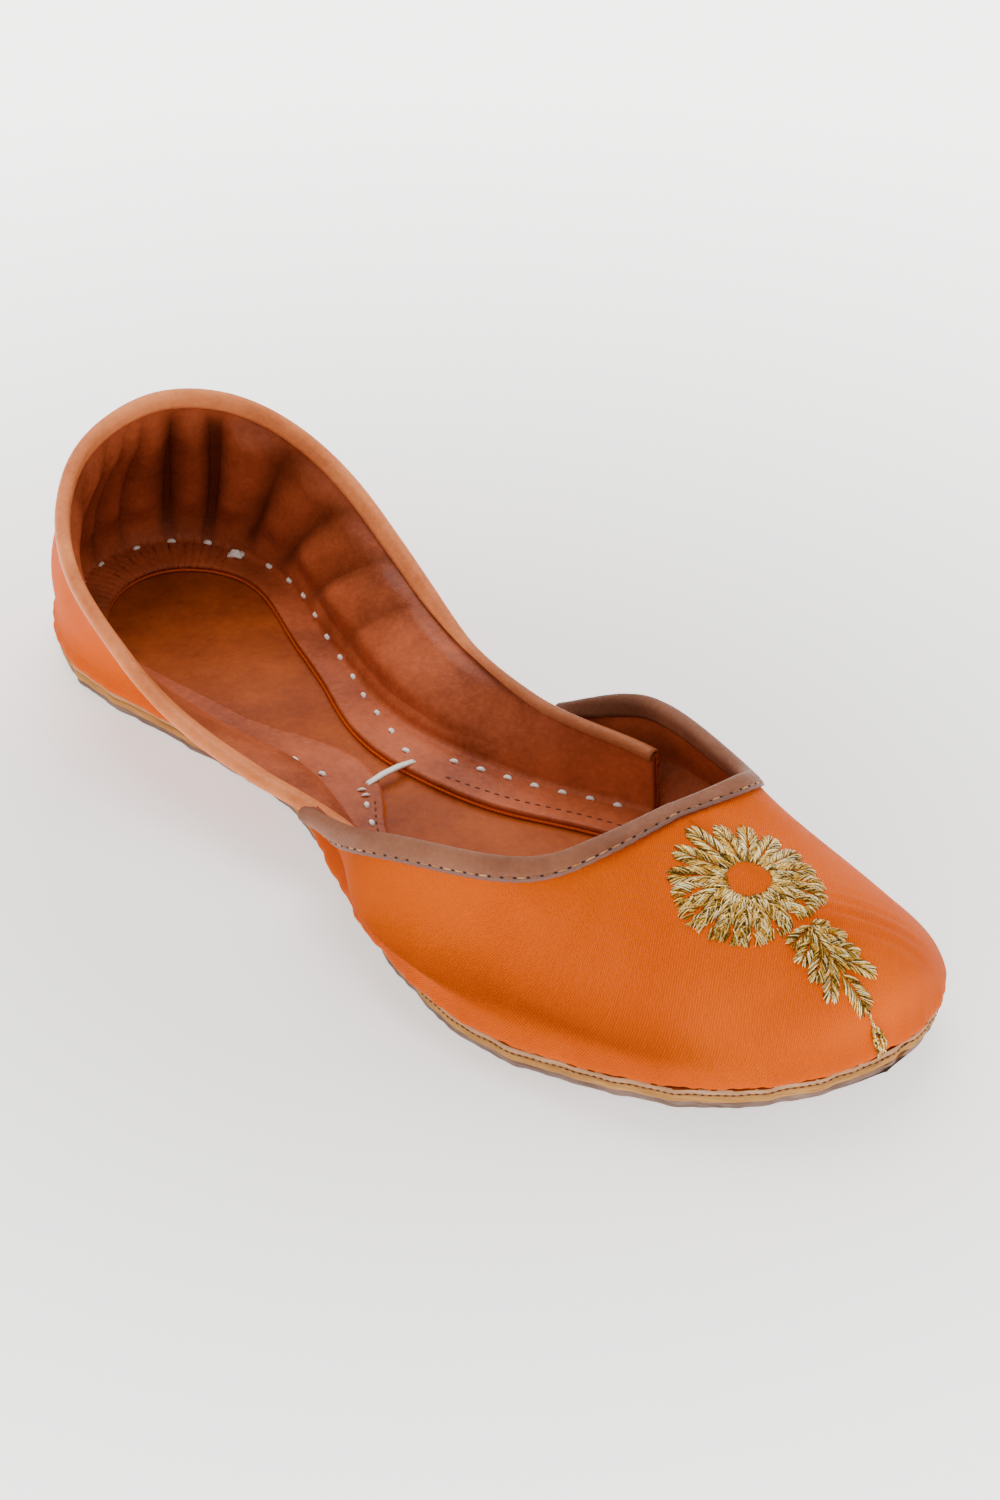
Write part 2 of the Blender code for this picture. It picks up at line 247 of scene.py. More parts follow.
# Lobes of the leaf and its leaflet, in metres along its vein and across it (+ toward +X): root, tip and half
# width
LEAF = named_rows("root_ahead root_across tip_ahead tip_across half_width", (
    (0.0012, 0.0004, 0.0026, -0.0056, 0.0018),
    (0.0030, -0.0002, 0.0068, -0.0060, 0.0018),
    (0.0058, -0.0002, 0.0113, -0.0053, 0.0017),
    (0.0090, -0.0004, 0.0160, -0.0042, 0.0016),
    (0.0006, 0.0008, 0.0030, 0.0036, 0.0016),
    (0.0018, 0.0004, 0.0066, 0.0052, 0.0017),
    (0.0045, 0.0004, 0.0105, 0.0058, 0.0017),
    (0.0080, 0.0004, 0.0152, 0.0071, 0.0015),
    (0.0010, 0.0002, 0.0125, 0.0002, 0.0020),
    (0.0125, 0.0004, 0.0205, 0.0026, 0.0021),
))


def smooth(places, values, at):
    """Values at the places in at, on a smooth curve through the given ones."""
    places = np.asarray(places, float)
    values = np.asarray(values, float)
    slopes = np.gradient(values, places)
    at = np.clip(at, places[0], places[-1])
    left = np.clip(np.searchsorted(places, at) - 1, 0, len(places) - 2)
    span = places[left + 1] - places[left]
    step = (at - places[left]) / span
    start = values[left] * (1 + 2 * step) * (1 - step) ** 2
    start += slopes[left] * span * step * (1 - step) ** 2
    end = values[left + 1] * step**2 * (3 - 2 * step)
    end -= slopes[left + 1] * span * step**2 * (1 - step)
    return start + end


def column(table, name):
    return [getattr(row, name) for row in table]


def lengthwise(table, name, along):
    return smooth(column(table, "along"), column(table, name), along)


def crosswise(table, near, far, share):
    places = column(table, "share")
    places = [-place for place in places[:0:-1]] + places
    values = column(table, near)[:0:-1] + column(table, far)
    return smooth(places, values, share)


def fullness(along):
    """Half width over the half width of an ellipse as long as the shoe."""
    ends = {SOLE[0].along: HEEL_RADIUS, SOLE[-1].along: TOE_RADIUS}
    values = []
    for row in SOLE:
        if row.along in ends:
            values.append(np.sqrt(ends[row.along] * SHOE_LENGTH / 2))
        else:
            values.append(row.half_width * BALL_WIDTH / (2 * np.sqrt(row.along * (1 - row.along))))
    return smooth(column(SOLE, "along"), values, along)


def swing(along):
    return BALL_WIDTH * lengthwise(SOLE, "swing", along) + MIDDLE_SHIFT


def along_of_turn(turn):
    return 0.5 * (1 - np.cos(np.pi * turn))


def outline(turn):
    """Points of the sole's outline. A turn runs from the toe (-1) by -X to the heel (0) and back by +X (1)."""
    turn = np.asarray(turn, float)
    along = along_of_turn(turn)
    x = np.sin(np.pi * turn) * fullness(along) + swing(along)
    y = SHOE_LENGTH * (0.5 - along)
    return np.stack([x, y, np.zeros_like(x)], axis=-1)


def outward(turn):
    """Level unit vectors at right angles to the outline."""
    step = 1e-4
    run = outline(np.asarray(turn) + step) - outline(np.asarray(turn) - step)
    run /= np.linalg.norm(run, axis=-1, keepdims=True)
    return np.stack([-run[..., 1], run[..., 0], np.zeros_like(run[..., 0])], axis=-1)


def lift(y):
    """Height of the sole's underside above the floor."""
    along = 0.5 - np.asarray(y) / SHOE_LENGTH
    heel = np.clip(1 - along / HEEL_RISE_END, 0, 1)
    arch = np.clip((along - ARCH_START) / (ARCH_END - ARCH_START), 0, 1)
    spring = np.clip((along - SPRING_START) / (1 - SPRING_START), 0, 1)
    return HEEL_RISE * heel**2 + ARCH_RISE * np.sin(np.pi * arch) ** 2 + TOE_SPRING * spring**2


def plan(turn, inset, height):
    """Points beside the outline, inset from it, at a height above the sole's underside."""
    points = outline(turn) - outward(turn) * np.asarray(inset)[..., None]
    points[..., 2] = lift(points[..., 1]) + height
    return points


def curve(start, first_handle, last_handle, end, at):
    """Points of cubic curves, one for each start, at the shares in at."""
    at = np.asarray(at)[None, :, None]
    points = start[:, None] * (1 - at) ** 3
    points = points + 3 * first_handle[:, None] * at * (1 - at) ** 2
    points = points + 3 * last_handle[:, None] * at**2 * (1 - at)
    return points + end[:, None] * at**3


def tilted(level, degrees):
    angle = np.radians(degrees)[:, None]
    return level * np.sin(angle) + UP * np.cos(angle)


def throat_edge(share):
    along = crosswise(THROAT, "along", "along", share)
    half = BALL_WIDTH * crosswise(THROAT, "half_width", "half_width", share)
    y = SHOE_LENGTH * (0.5 - along)
    x = swing(along) + np.sign(share) * half
    height = INSTEP_HEIGHT * crosswise(THROAT, "near_height", "far_height", share)
    return np.stack([x, y, lift(y) + UPPER_BOTTOM + height], axis=-1)


def vamp_turns(share):
    return np.where(share < 0, -1, 1) * (1 - (1 - VAMP_REAR_TURN) * np.abs(share))


def vamp_surface(share, rows):
    """Outside of the vamp, one line of points from foot to throat for each share across it."""
    turns = vamp_turns(share)
    level = outward(turns)
    lean = crosswise(VAMP, "lean", "lean", share)
    foot = plan(turns, FOOT_INSET, UPPER_BOTTOM + UPPER_WALL * np.sin(np.radians(lean)))
    edge = throat_edge(share)
    rise = INSTEP_HEIGHT * crosswise(VAMP, "rise", "rise", share)[:, None]
    reach = INSTEP_HEIGHT * crosswise(VAMP, "reach", "reach", share)[:, None]
    first = foot + rise * tilted(level, lean)
    last = edge + reach * tilted(level, 90 + crosswise(VAMP, "slope", "slope", share))
    return curve(foot, first, last, edge, rows)


def quarter_foot_inset(along):
    tuck = np.clip(lengthwise(COLLAR, "tuck", along), 0, 1)
    return FOOT_INSET + tuck * (UPPER_WALL + 2 * CLEARANCE)


def collar_size(turns, near, far):
    """A height or flare of the collar's edge, which sags a little at the waist on the -X side."""
    along = along_of_turn(turns)
    on_near = np.asarray(turns) < 0
    return COLLAR_HEIGHT * np.where(on_near, lengthwise(COLLAR, near, along), lengthwise(COLLAR, far, along))


def quarter_wall(turns, rows):
    """Outside of the quarter's wall, from the margin's bend to the collar edge."""
    along = along_of_turn(turns)
    level = outward(turns)
    start = plan(turns, quarter_foot_inset(along), UPPER_BOTTOM + MARGIN_BEND_RADIUS)
    flare = collar_size(turns, "near_flare", "far_flare")
    height = collar_size(turns, "near_height", "far_height")
    edge = plan(turns, FOOT_INSET - flare, UPPER_BOTTOM + height)
    first = start + 0.4 * height[:, None] * tilted(level, lengthwise(COLLAR, "lean", along))
    last = edge - 0.3 * (edge - start)
    return curve(start, first, last, edge, rows)


def margin_insets(turns):
    """Distances in from the outline to the margin's bend, seam and edge."""
    along = along_of_turn(turns)
    near = np.asarray(turns) < 0
    seam = np.where(near, lengthwise(MARGIN, "near_seam", along), lengthwise(MARGIN, "far_seam", along))
    edge = np.where(near, lengthwise(MARGIN, "near_edge", along), lengthwise(MARGIN, "far_edge", along))
    bend = quarter_foot_inset(along) + MARGIN_BEND_RADIUS
    return bend, bend + BALL_WIDTH * seam, bend + BALL_WIDTH * (seam + edge)


def quarter_margin(turns, edge_shift, rows_in, rows_round, roundness=1.0):
    """Underside of the turned-in margin, from its edge to the wall's foot. Less roundness squares its bend."""
    foot = quarter_foot_inset(along_of_turn(turns))
    bend, _, edge = margin_insets(turns)
    rows = []
    for share in np.linspace(0, 1, rows_in, endpoint=False):
        inset = (edge + edge_shift) * (1 - share) + bend * share
        rows.append(plan(turns, inset, UPPER_BOTTOM))
    for step in range(rows_round):
        angle = 0.5 * np.pi * step / rows_round
        inset = foot + MARGIN_BEND_RADIUS * (1 - np.sin(angle) ** roundness)
        height = MARGIN_BEND_RADIUS * (1 - np.cos(angle) ** roundness)
        rows.append(plan(turns, inset, UPPER_BOTTOM + height))
    return np.stack(rows, axis=1)


def swell(points, turns, amounts, tucked, settled):
    """A wall's points with its foot pushed out over the sole's edge by the given amounts, tucked under a little
    and settled over the edge."""
    height = points[..., 2] - lift(points[..., 1]) - UPPER_BOTTOM
    wave = 1 + 0.06 * np.sin(2 * np.pi * 21 * turns) + 0.04 * np.sin(2 * np.pi * 47 * turns + 1)
    push = bell(height, 5 * MM) * (1 - tucked * bell(height, 0.8 * MM)) * (amounts * wave[:, None])
    moved = points + outward(turns)[:, None] * push[..., None]
    moved[..., 2] -= settled * bell(height, 1.2 * MM) * amounts / np.max(amounts)
    return moved


def grid_normals(points, facing):
    """Unit normals of a grid of points. Facing is 1 for the left of its lines' order and -1 for the right."""
    out = facing * np.cross(np.gradient(points, axis=1), np.gradient(points, axis=0))
    return out / np.maximum(np.linalg.norm(out, axis=2, keepdims=True), 1e-12)


def lumps(points, size, seed):
    """Smooth noise from -1 to 1 at each point, with lumps of about the given size."""
    shift = Vector((seed * 7.13, seed * 3.71, seed * 1.37))
    flat = points.reshape(-1, 3) / size
    values = [noise.noise(Vector(point) + shift) for point in flat]
    return np.array(values).reshape(points.shape[:-1])


def runs(line):
    """How far along a line of points each of them lies."""
    return np.concatenate([[0], np.cumsum(np.linalg.norm(np.diff(line, axis=0), axis=1))])


def read_line(line, run, at):
    """Points of a line where the run along it has the values in at."""
    return np.stack([np.interp(at, run, line[:, axis]) for axis in range(3)], axis=-1)


def bell(distance, width):
    return np.exp(-((distance / width) ** 2))


def ramp(value, low, high):
    """0 below low, 1 above high and a smooth step between."""
    share = np.clip((value - low) / (high - low), 0, 1)
    return share * share * (3 - 2 * share)


class Edge:
    """Places on a wall measured down from its last row, for what is folded over or sewn along its edge."""

    def __init__(self, wall, facing):
        steps = np.linalg.norm(np.diff(wall, axis=1), axis=2)
        self.wall = wall
        self.below = np.zeros(wall.shape[:2])
        self.below[:, :-1] = np.cumsum(steps[:, ::-1], axis=1)[:, ::-1]
        self.out = grid_normals(wall, facing)
        rise = np.gradient(wall, axis=1)
        self.rise = rise / np.linalg.norm(rise, axis=2, keepdims=True)

    def take(self, grid, depth):
        depth = np.broadcast_to(depth, (len(grid),))
        lines = zip(grid, self.below, depth)
        return np.array([read_line(line[::-1], depths[::-1], want) for line, depths, want in lines])

    def place(self, depth, offset):
        """Points at a depth below the edge, offset from the wall's outer face."""
        return self.take(self.wall, depth) + offset * self.take(self.out, depth)


# Finishes

class Finish:
    """A material's nodes round its Principled shader."""

    def __init__(self, name, **values):
        self.made = bpy.data.materials.new(name)
        self.made.use_nodes = True
        self.tree = self.made.node_tree
        self.shader = self.tree.nodes["Principled BSDF"]
        for socket, value in values.items():
            self.shade(socket.replace("_", " "), value)

    def put(self, socket, source):
        """Links a socket to another, or sets it to a value."""
        if isinstance(source, bpy.types.NodeSocket):
            self.tree.links.new(source, socket)
        elif socket.type == "RGBA":
            socket.default_value = tuple(source) + (1.0,)
        else:
            socket.default_value = source

    def shade(self, name, source):
        self.put(self.shader.inputs[name], source)

    def node(self, kind, links, **settings):
        """Outputs of a new node with its properties set; links gives (input, source socket or value)."""
        made = self.tree.nodes.new(kind)
        for name, value in settings.items():
            setattr(made, name, value)
        for name, source in links:
            self.put(made.inputs[name], source)
        return made.outputs

    def place(self):
        return self.node("ShaderNodeTexCoord", ())["Object"]

    def cloth(self):
        return self.node("ShaderNodeUVMap", (), uv_map="Cloth")["UV"]

    def own(self, name):
        """The piece's own values of that name."""
        return self.node("ShaderNodeAttribute", (), attribute_name=name)["Fac"]

    def mapped(self, vector, change, amount):
        return self.node("ShaderNodeMapping", (("Vector", vector), (change, amount)))["Vector"]

    def lines(self, vector, turn, scale, distortion, detail):
        links = (("Vector", self.mapped(vector, "Rotation", (0, 0, turn))), ("Scale", scale))
        return self.node("ShaderNodeTexWave", links + (("Distortion", distortion), ("Detail", detail)))["Fac"]

    def clouds(self, vector, scale, detail, roughness=0.5):
        links = (("Vector", vector), ("Scale", scale), ("Detail", detail), ("Roughness", roughness))
        return self.node("ShaderNodeTexNoise", links)["Fac"]

    def stretch(self, value, low, high, new_low=0.0, new_high=1.0):
        links = (("Value", value), ("From Min", low), ("From Max", high))
        return self.node("ShaderNodeMapRange", links + (("To Min", new_low), ("To Max", new_high)))["Result"]

    def total(self, first, second):
        return self.node("ShaderNodeMath", ((0, first), (1, second)), operation="ADD")[0]

    def blend(self, factor, first, second):
        return self.node("ShaderNodeMix", ((0, factor), (6, first), (7, second)), data_type="RGBA")[2]

    def relief(self, height, depth):
        links = (("Height", height), ("Distance", depth), ("Strength", 1.0))
        self.shade("Normal", self.node("ShaderNodeBump", links)["Normal"])


def satin_finish(settings):
    """Fine twill with a soft sheen; the cloth's own map is in centimetres."""
    satin = Finish("orange satin", Roughness=0.5, Specular_IOR_Level=0.025, Specular_Tint=(1.0, 0.30, 0.03))
    cloth = satin.cloth()
    twill = satin.lines(cloth, 0.95, settings.twill_scale, 0.6, 1.0)
    weft = satin.lines(cloth, -0.62, settings.twill_scale * 1.3, 0.4, 2.0)
    patches = satin.clouds(satin.place(), 38.0, 3.0)
    specks = satin.clouds(cloth, 26.0, 2.0)
    threads = satin.total(twill, satin.stretch(weft, 0, 1, 0, 0.5))
    tone = satin.total(satin.stretch(threads, 0.0, 1.5, 0.0, 0.55), satin.stretch(specks, 0.3, 0.7, 0, 0.25))
    tone = satin.total(tone, satin.stretch(patches, 0.35, 0.65, 0.0, 0.3))
    satin.shade("Base Color", satin.blend(tone, settings.satin_dark, settings.satin_light))
    satin.relief(threads, 0.00011)
    return satin.made


def leather_finish(name, dark, light, roughness, grain, hem=None, painted_shade_and_dim_colour=None):
    """Dressed leather: soft patches of tone, a fine pebble and small creases. A hem is its cut edge's colour,
    and the darker colour passed last is laid on by the piece's own darkening values: painted shade deep in the
    lining's folds, and a darker tone along part of an edging."""
    leather = Finish(name, Specular_IOR_Level=0.14)
    place = leather.place()
    patches = leather.clouds(place, 42.0, 5.0, 0.6)
    links = (("Vector", place), ("Scale", grain))
    pebble = leather.node("ShaderNodeTexVoronoi", links, feature="SMOOTH_F1")["Distance"]
    fine = leather.clouds(place, grain * 2.2, 3.0)
    tone = leather.total(leather.stretch(patches, 0.32, 0.68), leather.stretch(pebble, 0.0, 0.8, 0.12, -0.18))
    colour = leather.blend(tone, dark, light)
    if hem:
        climb = leather.node("ShaderNodeSeparateXYZ", (("Vector", leather.cloth()),))["Y"]
        ragged = leather.total(climb, leather.stretch(fine, 0.2, 0.8, -0.02, 0.02))
        colour = leather.blend(leather.stretch(ragged, 0.055, 0.085, 1.0, 0.0), colour, hem)
    if painted_shade_and_dim_colour:
        colour = leather.blend(leather.own("crease"), colour, painted_shade_and_dim_colour)
    leather.shade("Base Color", colour)
    leather.shade("Roughness", leather.stretch(fine, 0.3, 0.7, roughness - 0.06, roughness + 0.1))
    leather.relief(leather.total(leather.stretch(pebble, 0, 1, 0, -0.7), fine), 0.00012)
    return leather.made


def cut_edge_finish(name, dark, light, layers):
    """Raw cut leather: thin lines of fibre that run round the edge, with rubbed and darker places."""
    edge = Finish(name, Roughness=0.88, Specular_IOR_Level=0.15)
    place = edge.place()
    fibres = edge.clouds(edge.mapped(place, "Scale", (120.0, 120.0, layers)), 1.0, 6.0, 0.65)
    rubbed = edge.clouds(place, 160.0, 5.0)
    tone = edge.total(edge.stretch(fibres, 0.33, 0.67, 0, 0.7), edge.stretch(rubbed, 0.3, 0.7, 0, 0.4))
    edge.shade("Base Color", edge.blend(tone, dark, light))
    edge.relief(edge.total(fibres, rubbed), 0.0004)
    return edge.made


def thread_finish(name, dark, middle, light, roughness, metal):
    """Thread whose tone changes from strand to strand, read from each strand's own value."""
    thread = Finish(name, Roughness=roughness, Metallic=metal)
    glints = thread.clouds(thread.place(), 2600.0, 2.0)
    # Painted glints: fine noise lightens and darkens the thread's colour in small spots; the same noise gives
    # its bumps
    tone = thread.total(thread.own("tone"), thread.stretch(glints, 0.3, 0.7, -0.25, 0.25))
    lower = thread.blend(thread.stretch(tone, 0.0, 0.5), dark, middle)
    thread.shade("Base Color", thread.blend(thread.stretch(tone, 0.5, 1.0), lower, light))
    thread.relief(glints, 0.0001)
    return thread.made


# Making pieces

def lay_grid(name, points):
    """A grid primitive with its corners moved to the given points, and its map laid flat in centimetres."""
    lines, rows = points.shape[:2]
    bpy.ops.object.select_all(action="DESELECT")
    bpy.ops.mesh.primitive_grid_add(x_subdivisions=rows - 1, y_subdivisions=lines - 1, size=SHOE_LENGTH)
    made = bpy.context.active_object
    made.name = name
    mesh = made.data
    mesh.name = name
    if len(mesh.vertices) != lines * rows:
        raise RuntimeError(f"{name}: the grid has {len(mesh.vertices)} corners and needs {lines * rows}")
    mesh.vertices.foreach_set("co", np.ascontiguousarray(points, dtype=np.float32).ravel())
    run = np.zeros((lines, rows))
    run[1:] = np.cumsum(np.linalg.norm(np.diff(points[:, rows // 2], axis=0), axis=1))[:, None]
    climb = np.zeros((lines, rows))
    climb[:, 1:] = np.cumsum(np.linalg.norm(np.diff(points, axis=1), axis=2).mean(0))[None]
    flat = 100 * np.stack([run, climb], axis=-1).reshape(-1, 2)
    corners = np.empty(len(mesh.loops), np.int32)
    mesh.loops.foreach_get("vertex_index", corners)
    mesh.uv_layers.active.name = "Cloth"
    mesh.uv_layers["Cloth"].data.foreach_set("uv", flat[corners].astype(np.float32).ravel())
    mesh.update()
    return made


def pick(piece):
    """Makes a piece the only one that the next operators work on."""
    bpy.ops.object.select_all(action="DESELECT")
    piece.select_set(True)
    bpy.context.view_layer.objects.active = piece


def thicken(piece, thickness, side):
    """Gives a laid grid its thickness, on the side that its faces point to (1) or away (-1)."""
    pick(piece)
    bpy.ops.object.modifier_add(type="SOLIDIFY")
    wall = piece.modifiers[-1]
    wall.thickness = thickness
    wall.offset = side
    wall.use_quality_normals = True
    bpy.ops.object.modifier_apply(modifier=wall.name)


def set_painted_shade_and_dim(piece, values):
    """Stores for each point of a laid grid, from 0 to 1, how far its colour darkens: painted shade deep in the
    lining's folds, and a darker tone along part of an edging.
    """
    crease = piece.data.attributes.new("crease", "FLOAT", "POINT")
    crease.data.foreach_set("value", np.ascontiguousarray(values, dtype=np.float32).ravel())


def close_seams(piece):
    """Merges corners that lie on each other, and turns the faces outward."""
    pick(piece)
    bpy.ops.object.mode_set(mode="EDIT")
    bpy.ops.mesh.select_all(action="SELECT")
    bpy.ops.mesh.remove_doubles(threshold=2e-6)
    bpy.ops.mesh.dissolve_degenerate(threshold=1e-6)
    bpy.ops.mesh.normals_make_consistent(inside=False)
    bpy.ops.object.mode_set(mode="OBJECT")


def dress(piece, materials, replaced=()):
    """Finishes a piece: its materials, smooth shading, and what it rides on and stands for."""
    for material in materials:
        piece.data.materials.append(material)
    piece.data.shade_smooth()
    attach(piece, "root")
    if replaced:
        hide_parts(*replaced)


def strand_template():
    """Corners and faces of one strand: a long round primitive that ends in points."""
    bpy.ops.object.select_all(action="DESELECT")
    bpy.ops.mesh.primitive_uv_sphere_add(segments=5, ring_count=5, radius=1.0)
    ball = bpy.context.active_object
    mesh = ball.data
    corners = np.array([vertex.co[:] for vertex in mesh.vertices])
    faces = [tuple(face.vertices) for face in mesh.polygons]
    bpy.data.objects.remove(ball)
    bpy.data.meshes.remove(mesh)
    return corners, faces


def strands(name, starts, middles, ends, above, widths, heights, tones):
    """One piece of many stitches: each is a copy of one strand, laid along a bow from its start to its end."""
    corners, faces = strand_template()
    starts, middles, ends, above = (
        np.asarray(part, float)[:, None] for part in (starts, middles, ends, above)
    )
    share = 0.5 * (corners[:, 2] + 1)[None, :, None]
    around = np.hypot(corners[:, 0], corners[:, 1])
    full = np.where(around > 1e-6, 1 / np.maximum(around, 1e-6), 0) * np.sqrt(around)
    handle = 2 * middles - 0.5 * (starts + ends)
    path = starts * (1 - share) ** 2 + 2 * handle * share * (1 - share) + ends * share**2
    run = 2 * (handle - starts) * (1 - share) + 2 * (ends - handle) * share
    run /= np.maximum(np.linalg.norm(run, axis=2, keepdims=True), 1e-9)
    side = np.cross(run, np.broadcast_to(above, run.shape))
    side /= np.maximum(np.linalg.norm(side, axis=2, keepdims=True), 1e-9)
    lift_up = np.cross(side, run)
    half_width = 0.5 * np.broadcast_to(widths, (len(starts),))[:, None, None]
    half_height = 0.5 * np.broadcast_to(heights, (len(starts),))[:, None, None]
    x = (corners[:, 0] * full)[None, :, None]
    y = (corners[:, 1] * full)[None, :, None]
    points = path + x * half_width * side + y * half_height * lift_up
    count = len(corners)
    all_faces = [tuple(index + count * copy for index in face) for copy in range(len(points)) for face in faces]
    mesh = bpy.data.meshes.new(name)
    mesh.from_pydata(points.reshape(-1, 3).tolist(), [], all_faces)
    tone = mesh.attributes.new("tone", "FLOAT", "POINT")
    tone.data.foreach_set("value", np.repeat(np.broadcast_to(tones, (len(points),)), count).astype(np.float32))
    made = bpy.data.objects.new(name, mesh)
    bpy.context.scene.collection.objects.link(made)
    close_seams(made)
    return made


def laid(place, ahead, above, reach, rise=0.0, sink=0.0):
    """Starts, middles and ends of short stitches at places on a line, and the way up from them."""
    start, end = place - reach * ahead - sink * above, place + reach * ahead - sink * above
    return start, place + rise * above, end, above


def tree_of(piece):
    """A search tree of a finished piece's faces."""
    return BVHTree.FromObject(piece, bpy.context.evaluated_depsgraph_get())


def drop(tree, points, direction, back=0.0):
    """Where points land on a piece when moved along a direction, from a little back, and the normals there."""
    places, normals = [], []
    ray = Vector(direction).normalized()
    for point in np.asarray(points).reshape(-1, 3):
        place, normal, _, _ = tree.ray_cast(Vector(point) - ray * back, ray, 0.12)
        if place is None:
            place, normal, _, _ = tree.find_nearest(Vector(point))
        places.append(place[:])
        normals.append((normal if normal.dot(ray) < 0 else -normal)[:])
    return np.array(places), np.array(normals)


def walk(points, pitch, start=0.0):
    """Places and directions at even steps along a line of points."""
    run = runs(points)
    at = np.arange(start, run[-1], pitch)
    place = read_line(points, run, at)
    ahead = read_line(points, run, at + 0.2 * pitch) - place
    ahead /= np.maximum(np.linalg.norm(ahead, axis=1, keepdims=True), 1e-9)
    return place, ahead


# Shapes of the pieces

def edge_wave(turn, settings):
    """How far the hand-cut sole edge wanders in and out."""
    wave = np.sin(2 * np.pi * turn * 17 + 0.6) + 0.8 * np.sin(2 * np.pi * turn * 26 + 2.1)
    wave += 0.6 * np.sin(2 * np.pi * turn * 41 + 4.0)
    return settings.edge_wave * wave / 2.4


def sole_piece(name, inset, bottom, thickness, settings, seed, roughness, wobble):
    """One layer of the sole as a closed form: underside, hand-cut edge and top."""
    turns = np.linspace(-1, 1, SOLE_LINES)
    centre = outline(turns)
    centre[:, 0] = swing(along_of_turn(turns))
    rows = []
    wave = edge_wave(turns, settings)
    inward = (0.97, 0.85, 0.5, 0.0)
    profile = [(0.0, reach) for reach in inward[::-1]]
    profile += [(height, 1.0) for height in (0.04, 0.2, 0.4, 0.6, 0.8, 0.96)]
    profile += [(1.0, reach) for reach in inward]
    for height, reach in profile:
        edge = plan(turns, inset, 0.0)
        rim = reach > 0.9
        if rim:
            rough = roughness * lumps(edge + UP * height * 0.004, 0.0026, seed)
            round_off = 0.25 * MM * (abs(2 * height - 1)) ** 4
            edge = edge - outward(turns) * (rough + round_off - wave)[:, None]
        point = centre + (edge - centre) * reach
        z = lift(point[:, 1]) + bottom + height * thickness
        if rim:
            z = z + wobble * np.sin(2 * np.pi * turns * 23 + 1.0) * (0.4 + 0.6 * np.sin(2 * np.pi * turns * 5))
        rows.append(np.stack([point[:, 0], point[:, 1], z], axis=1))
    made = lay_grid(name, np.stack(rows, axis=1))
    close_seams(made)
    return made


def fold_cushions(turns, height):
    """The heel lining's cushions and the troughs between them, from 0 to 1, by turn and share of the height."""
    troughs = np.zeros_like(height)
    for fold in FOLDS:
        middle = fold.turn + fold.lean * (height - 0.4)
        narrow = fold.width * (0.6 + 0.6 * height)
        troughs += fold.depth * (1.1 - 0.3 * height) * np.exp(-np.abs((turns - middle) / narrow) ** 1.5)
    heel = ramp(-np.abs(turns - 0.09), -0.42, -0.24)
    return heel * (1 - np.minimum(troughs, 1)), heel * np.minimum(troughs, 1)


def tail_tuck(points):
    """Where the tail of the embroidery pulls the satin in."""
    away = np.hypot(points[..., 0] - TUCK_X, points[..., 2] - TUCK_Z)
    return bell(away, 3.0 * MM) * ramp(-points[..., 1], 0.115, 0.121)


def eased(points, rounds):
    """A grid of points with its lines evened out, their ends kept."""
    for _ in range(rounds):
        points[:, 1:-1] = 0.5 * points[:, 1:-1] + 0.25 * (points[:, :-2] + points[:, 2:])
        points[1:-1] = 0.5 * points[1:-1] + 0.25 * (points[:-2] + points[2:])
    return points


def vamp_relief(points, turns):
    """Soft wrinkles of the satin, measured out from the vamp's smooth surface."""
    x, y = points[..., 0] - WRINKLE_X, points[..., 1] - WRINKLE_Y
    ahead = 0.86 * x - 0.50 * y
    across = 0.50 * x + 0.86 * y
    pull = bell(ahead, 10 * MM) * bell(across, 9 * MM)
    ridges = RIDGE_HEIGHT * pull * np.sin(2 * np.pi * across / WRINKLE_PITCH + 2.0)
    waves = WAVE_HEIGHT * lumps(points * np.array([1.0, 1.0, 0.6]), 0.024, 3)
    height = points[..., 2] - lift(points[..., 1]) - UPPER_BOTTOM
    gathers = GATHER_HEIGHT * bell(height, 4 * MM) * np.sin(2 * np.pi * turns * 83)[:, None]
    return ridges + waves + gathers - TAIL_PULL * tail_tuck(points)


# Settings

def setting(kind, **fixed):
    """A maker of settings of one kind, from a name, a description and a default."""
    return lambda name, description, default: kind(name=name, description=description, default=default, **fixed)


a_length = setting(bpy.props.FloatProperty, subtype="DISTANCE")
an_angle = setting(bpy.props.FloatProperty, subtype="ANGLE")
a_number = setting(bpy.props.FloatProperty)
a_colour = setting(bpy.props.FloatVectorProperty, subtype="COLOR")


class SoleSettings(bpy.types.PropertyGroup):
    edge_wave: a_length("Edge wave", "How far the hand-cut edge wanders", 0.00042)
    insole_dark: a_colour("Insole shade", "Darker tone of the insole leather", (0.23, 0.036, 0.004))
    insole_light: a_colour("Insole light", "Lighter tone of the insole leather", (0.42, 0.080, 0.010))
    rim_colour: a_colour("Top layer edge", "Pale cut edge of the top layer", (0.72, 0.42, 0.23))
    tan_colour: a_colour("Middle layer", "Tan cut edge of the middle layer", (0.68, 0.34, 0.10))
    grey_colour: a_colour("Bottom layer", "Rough cut edge of the bottom layer", (0.36, 0.24, 0.195))


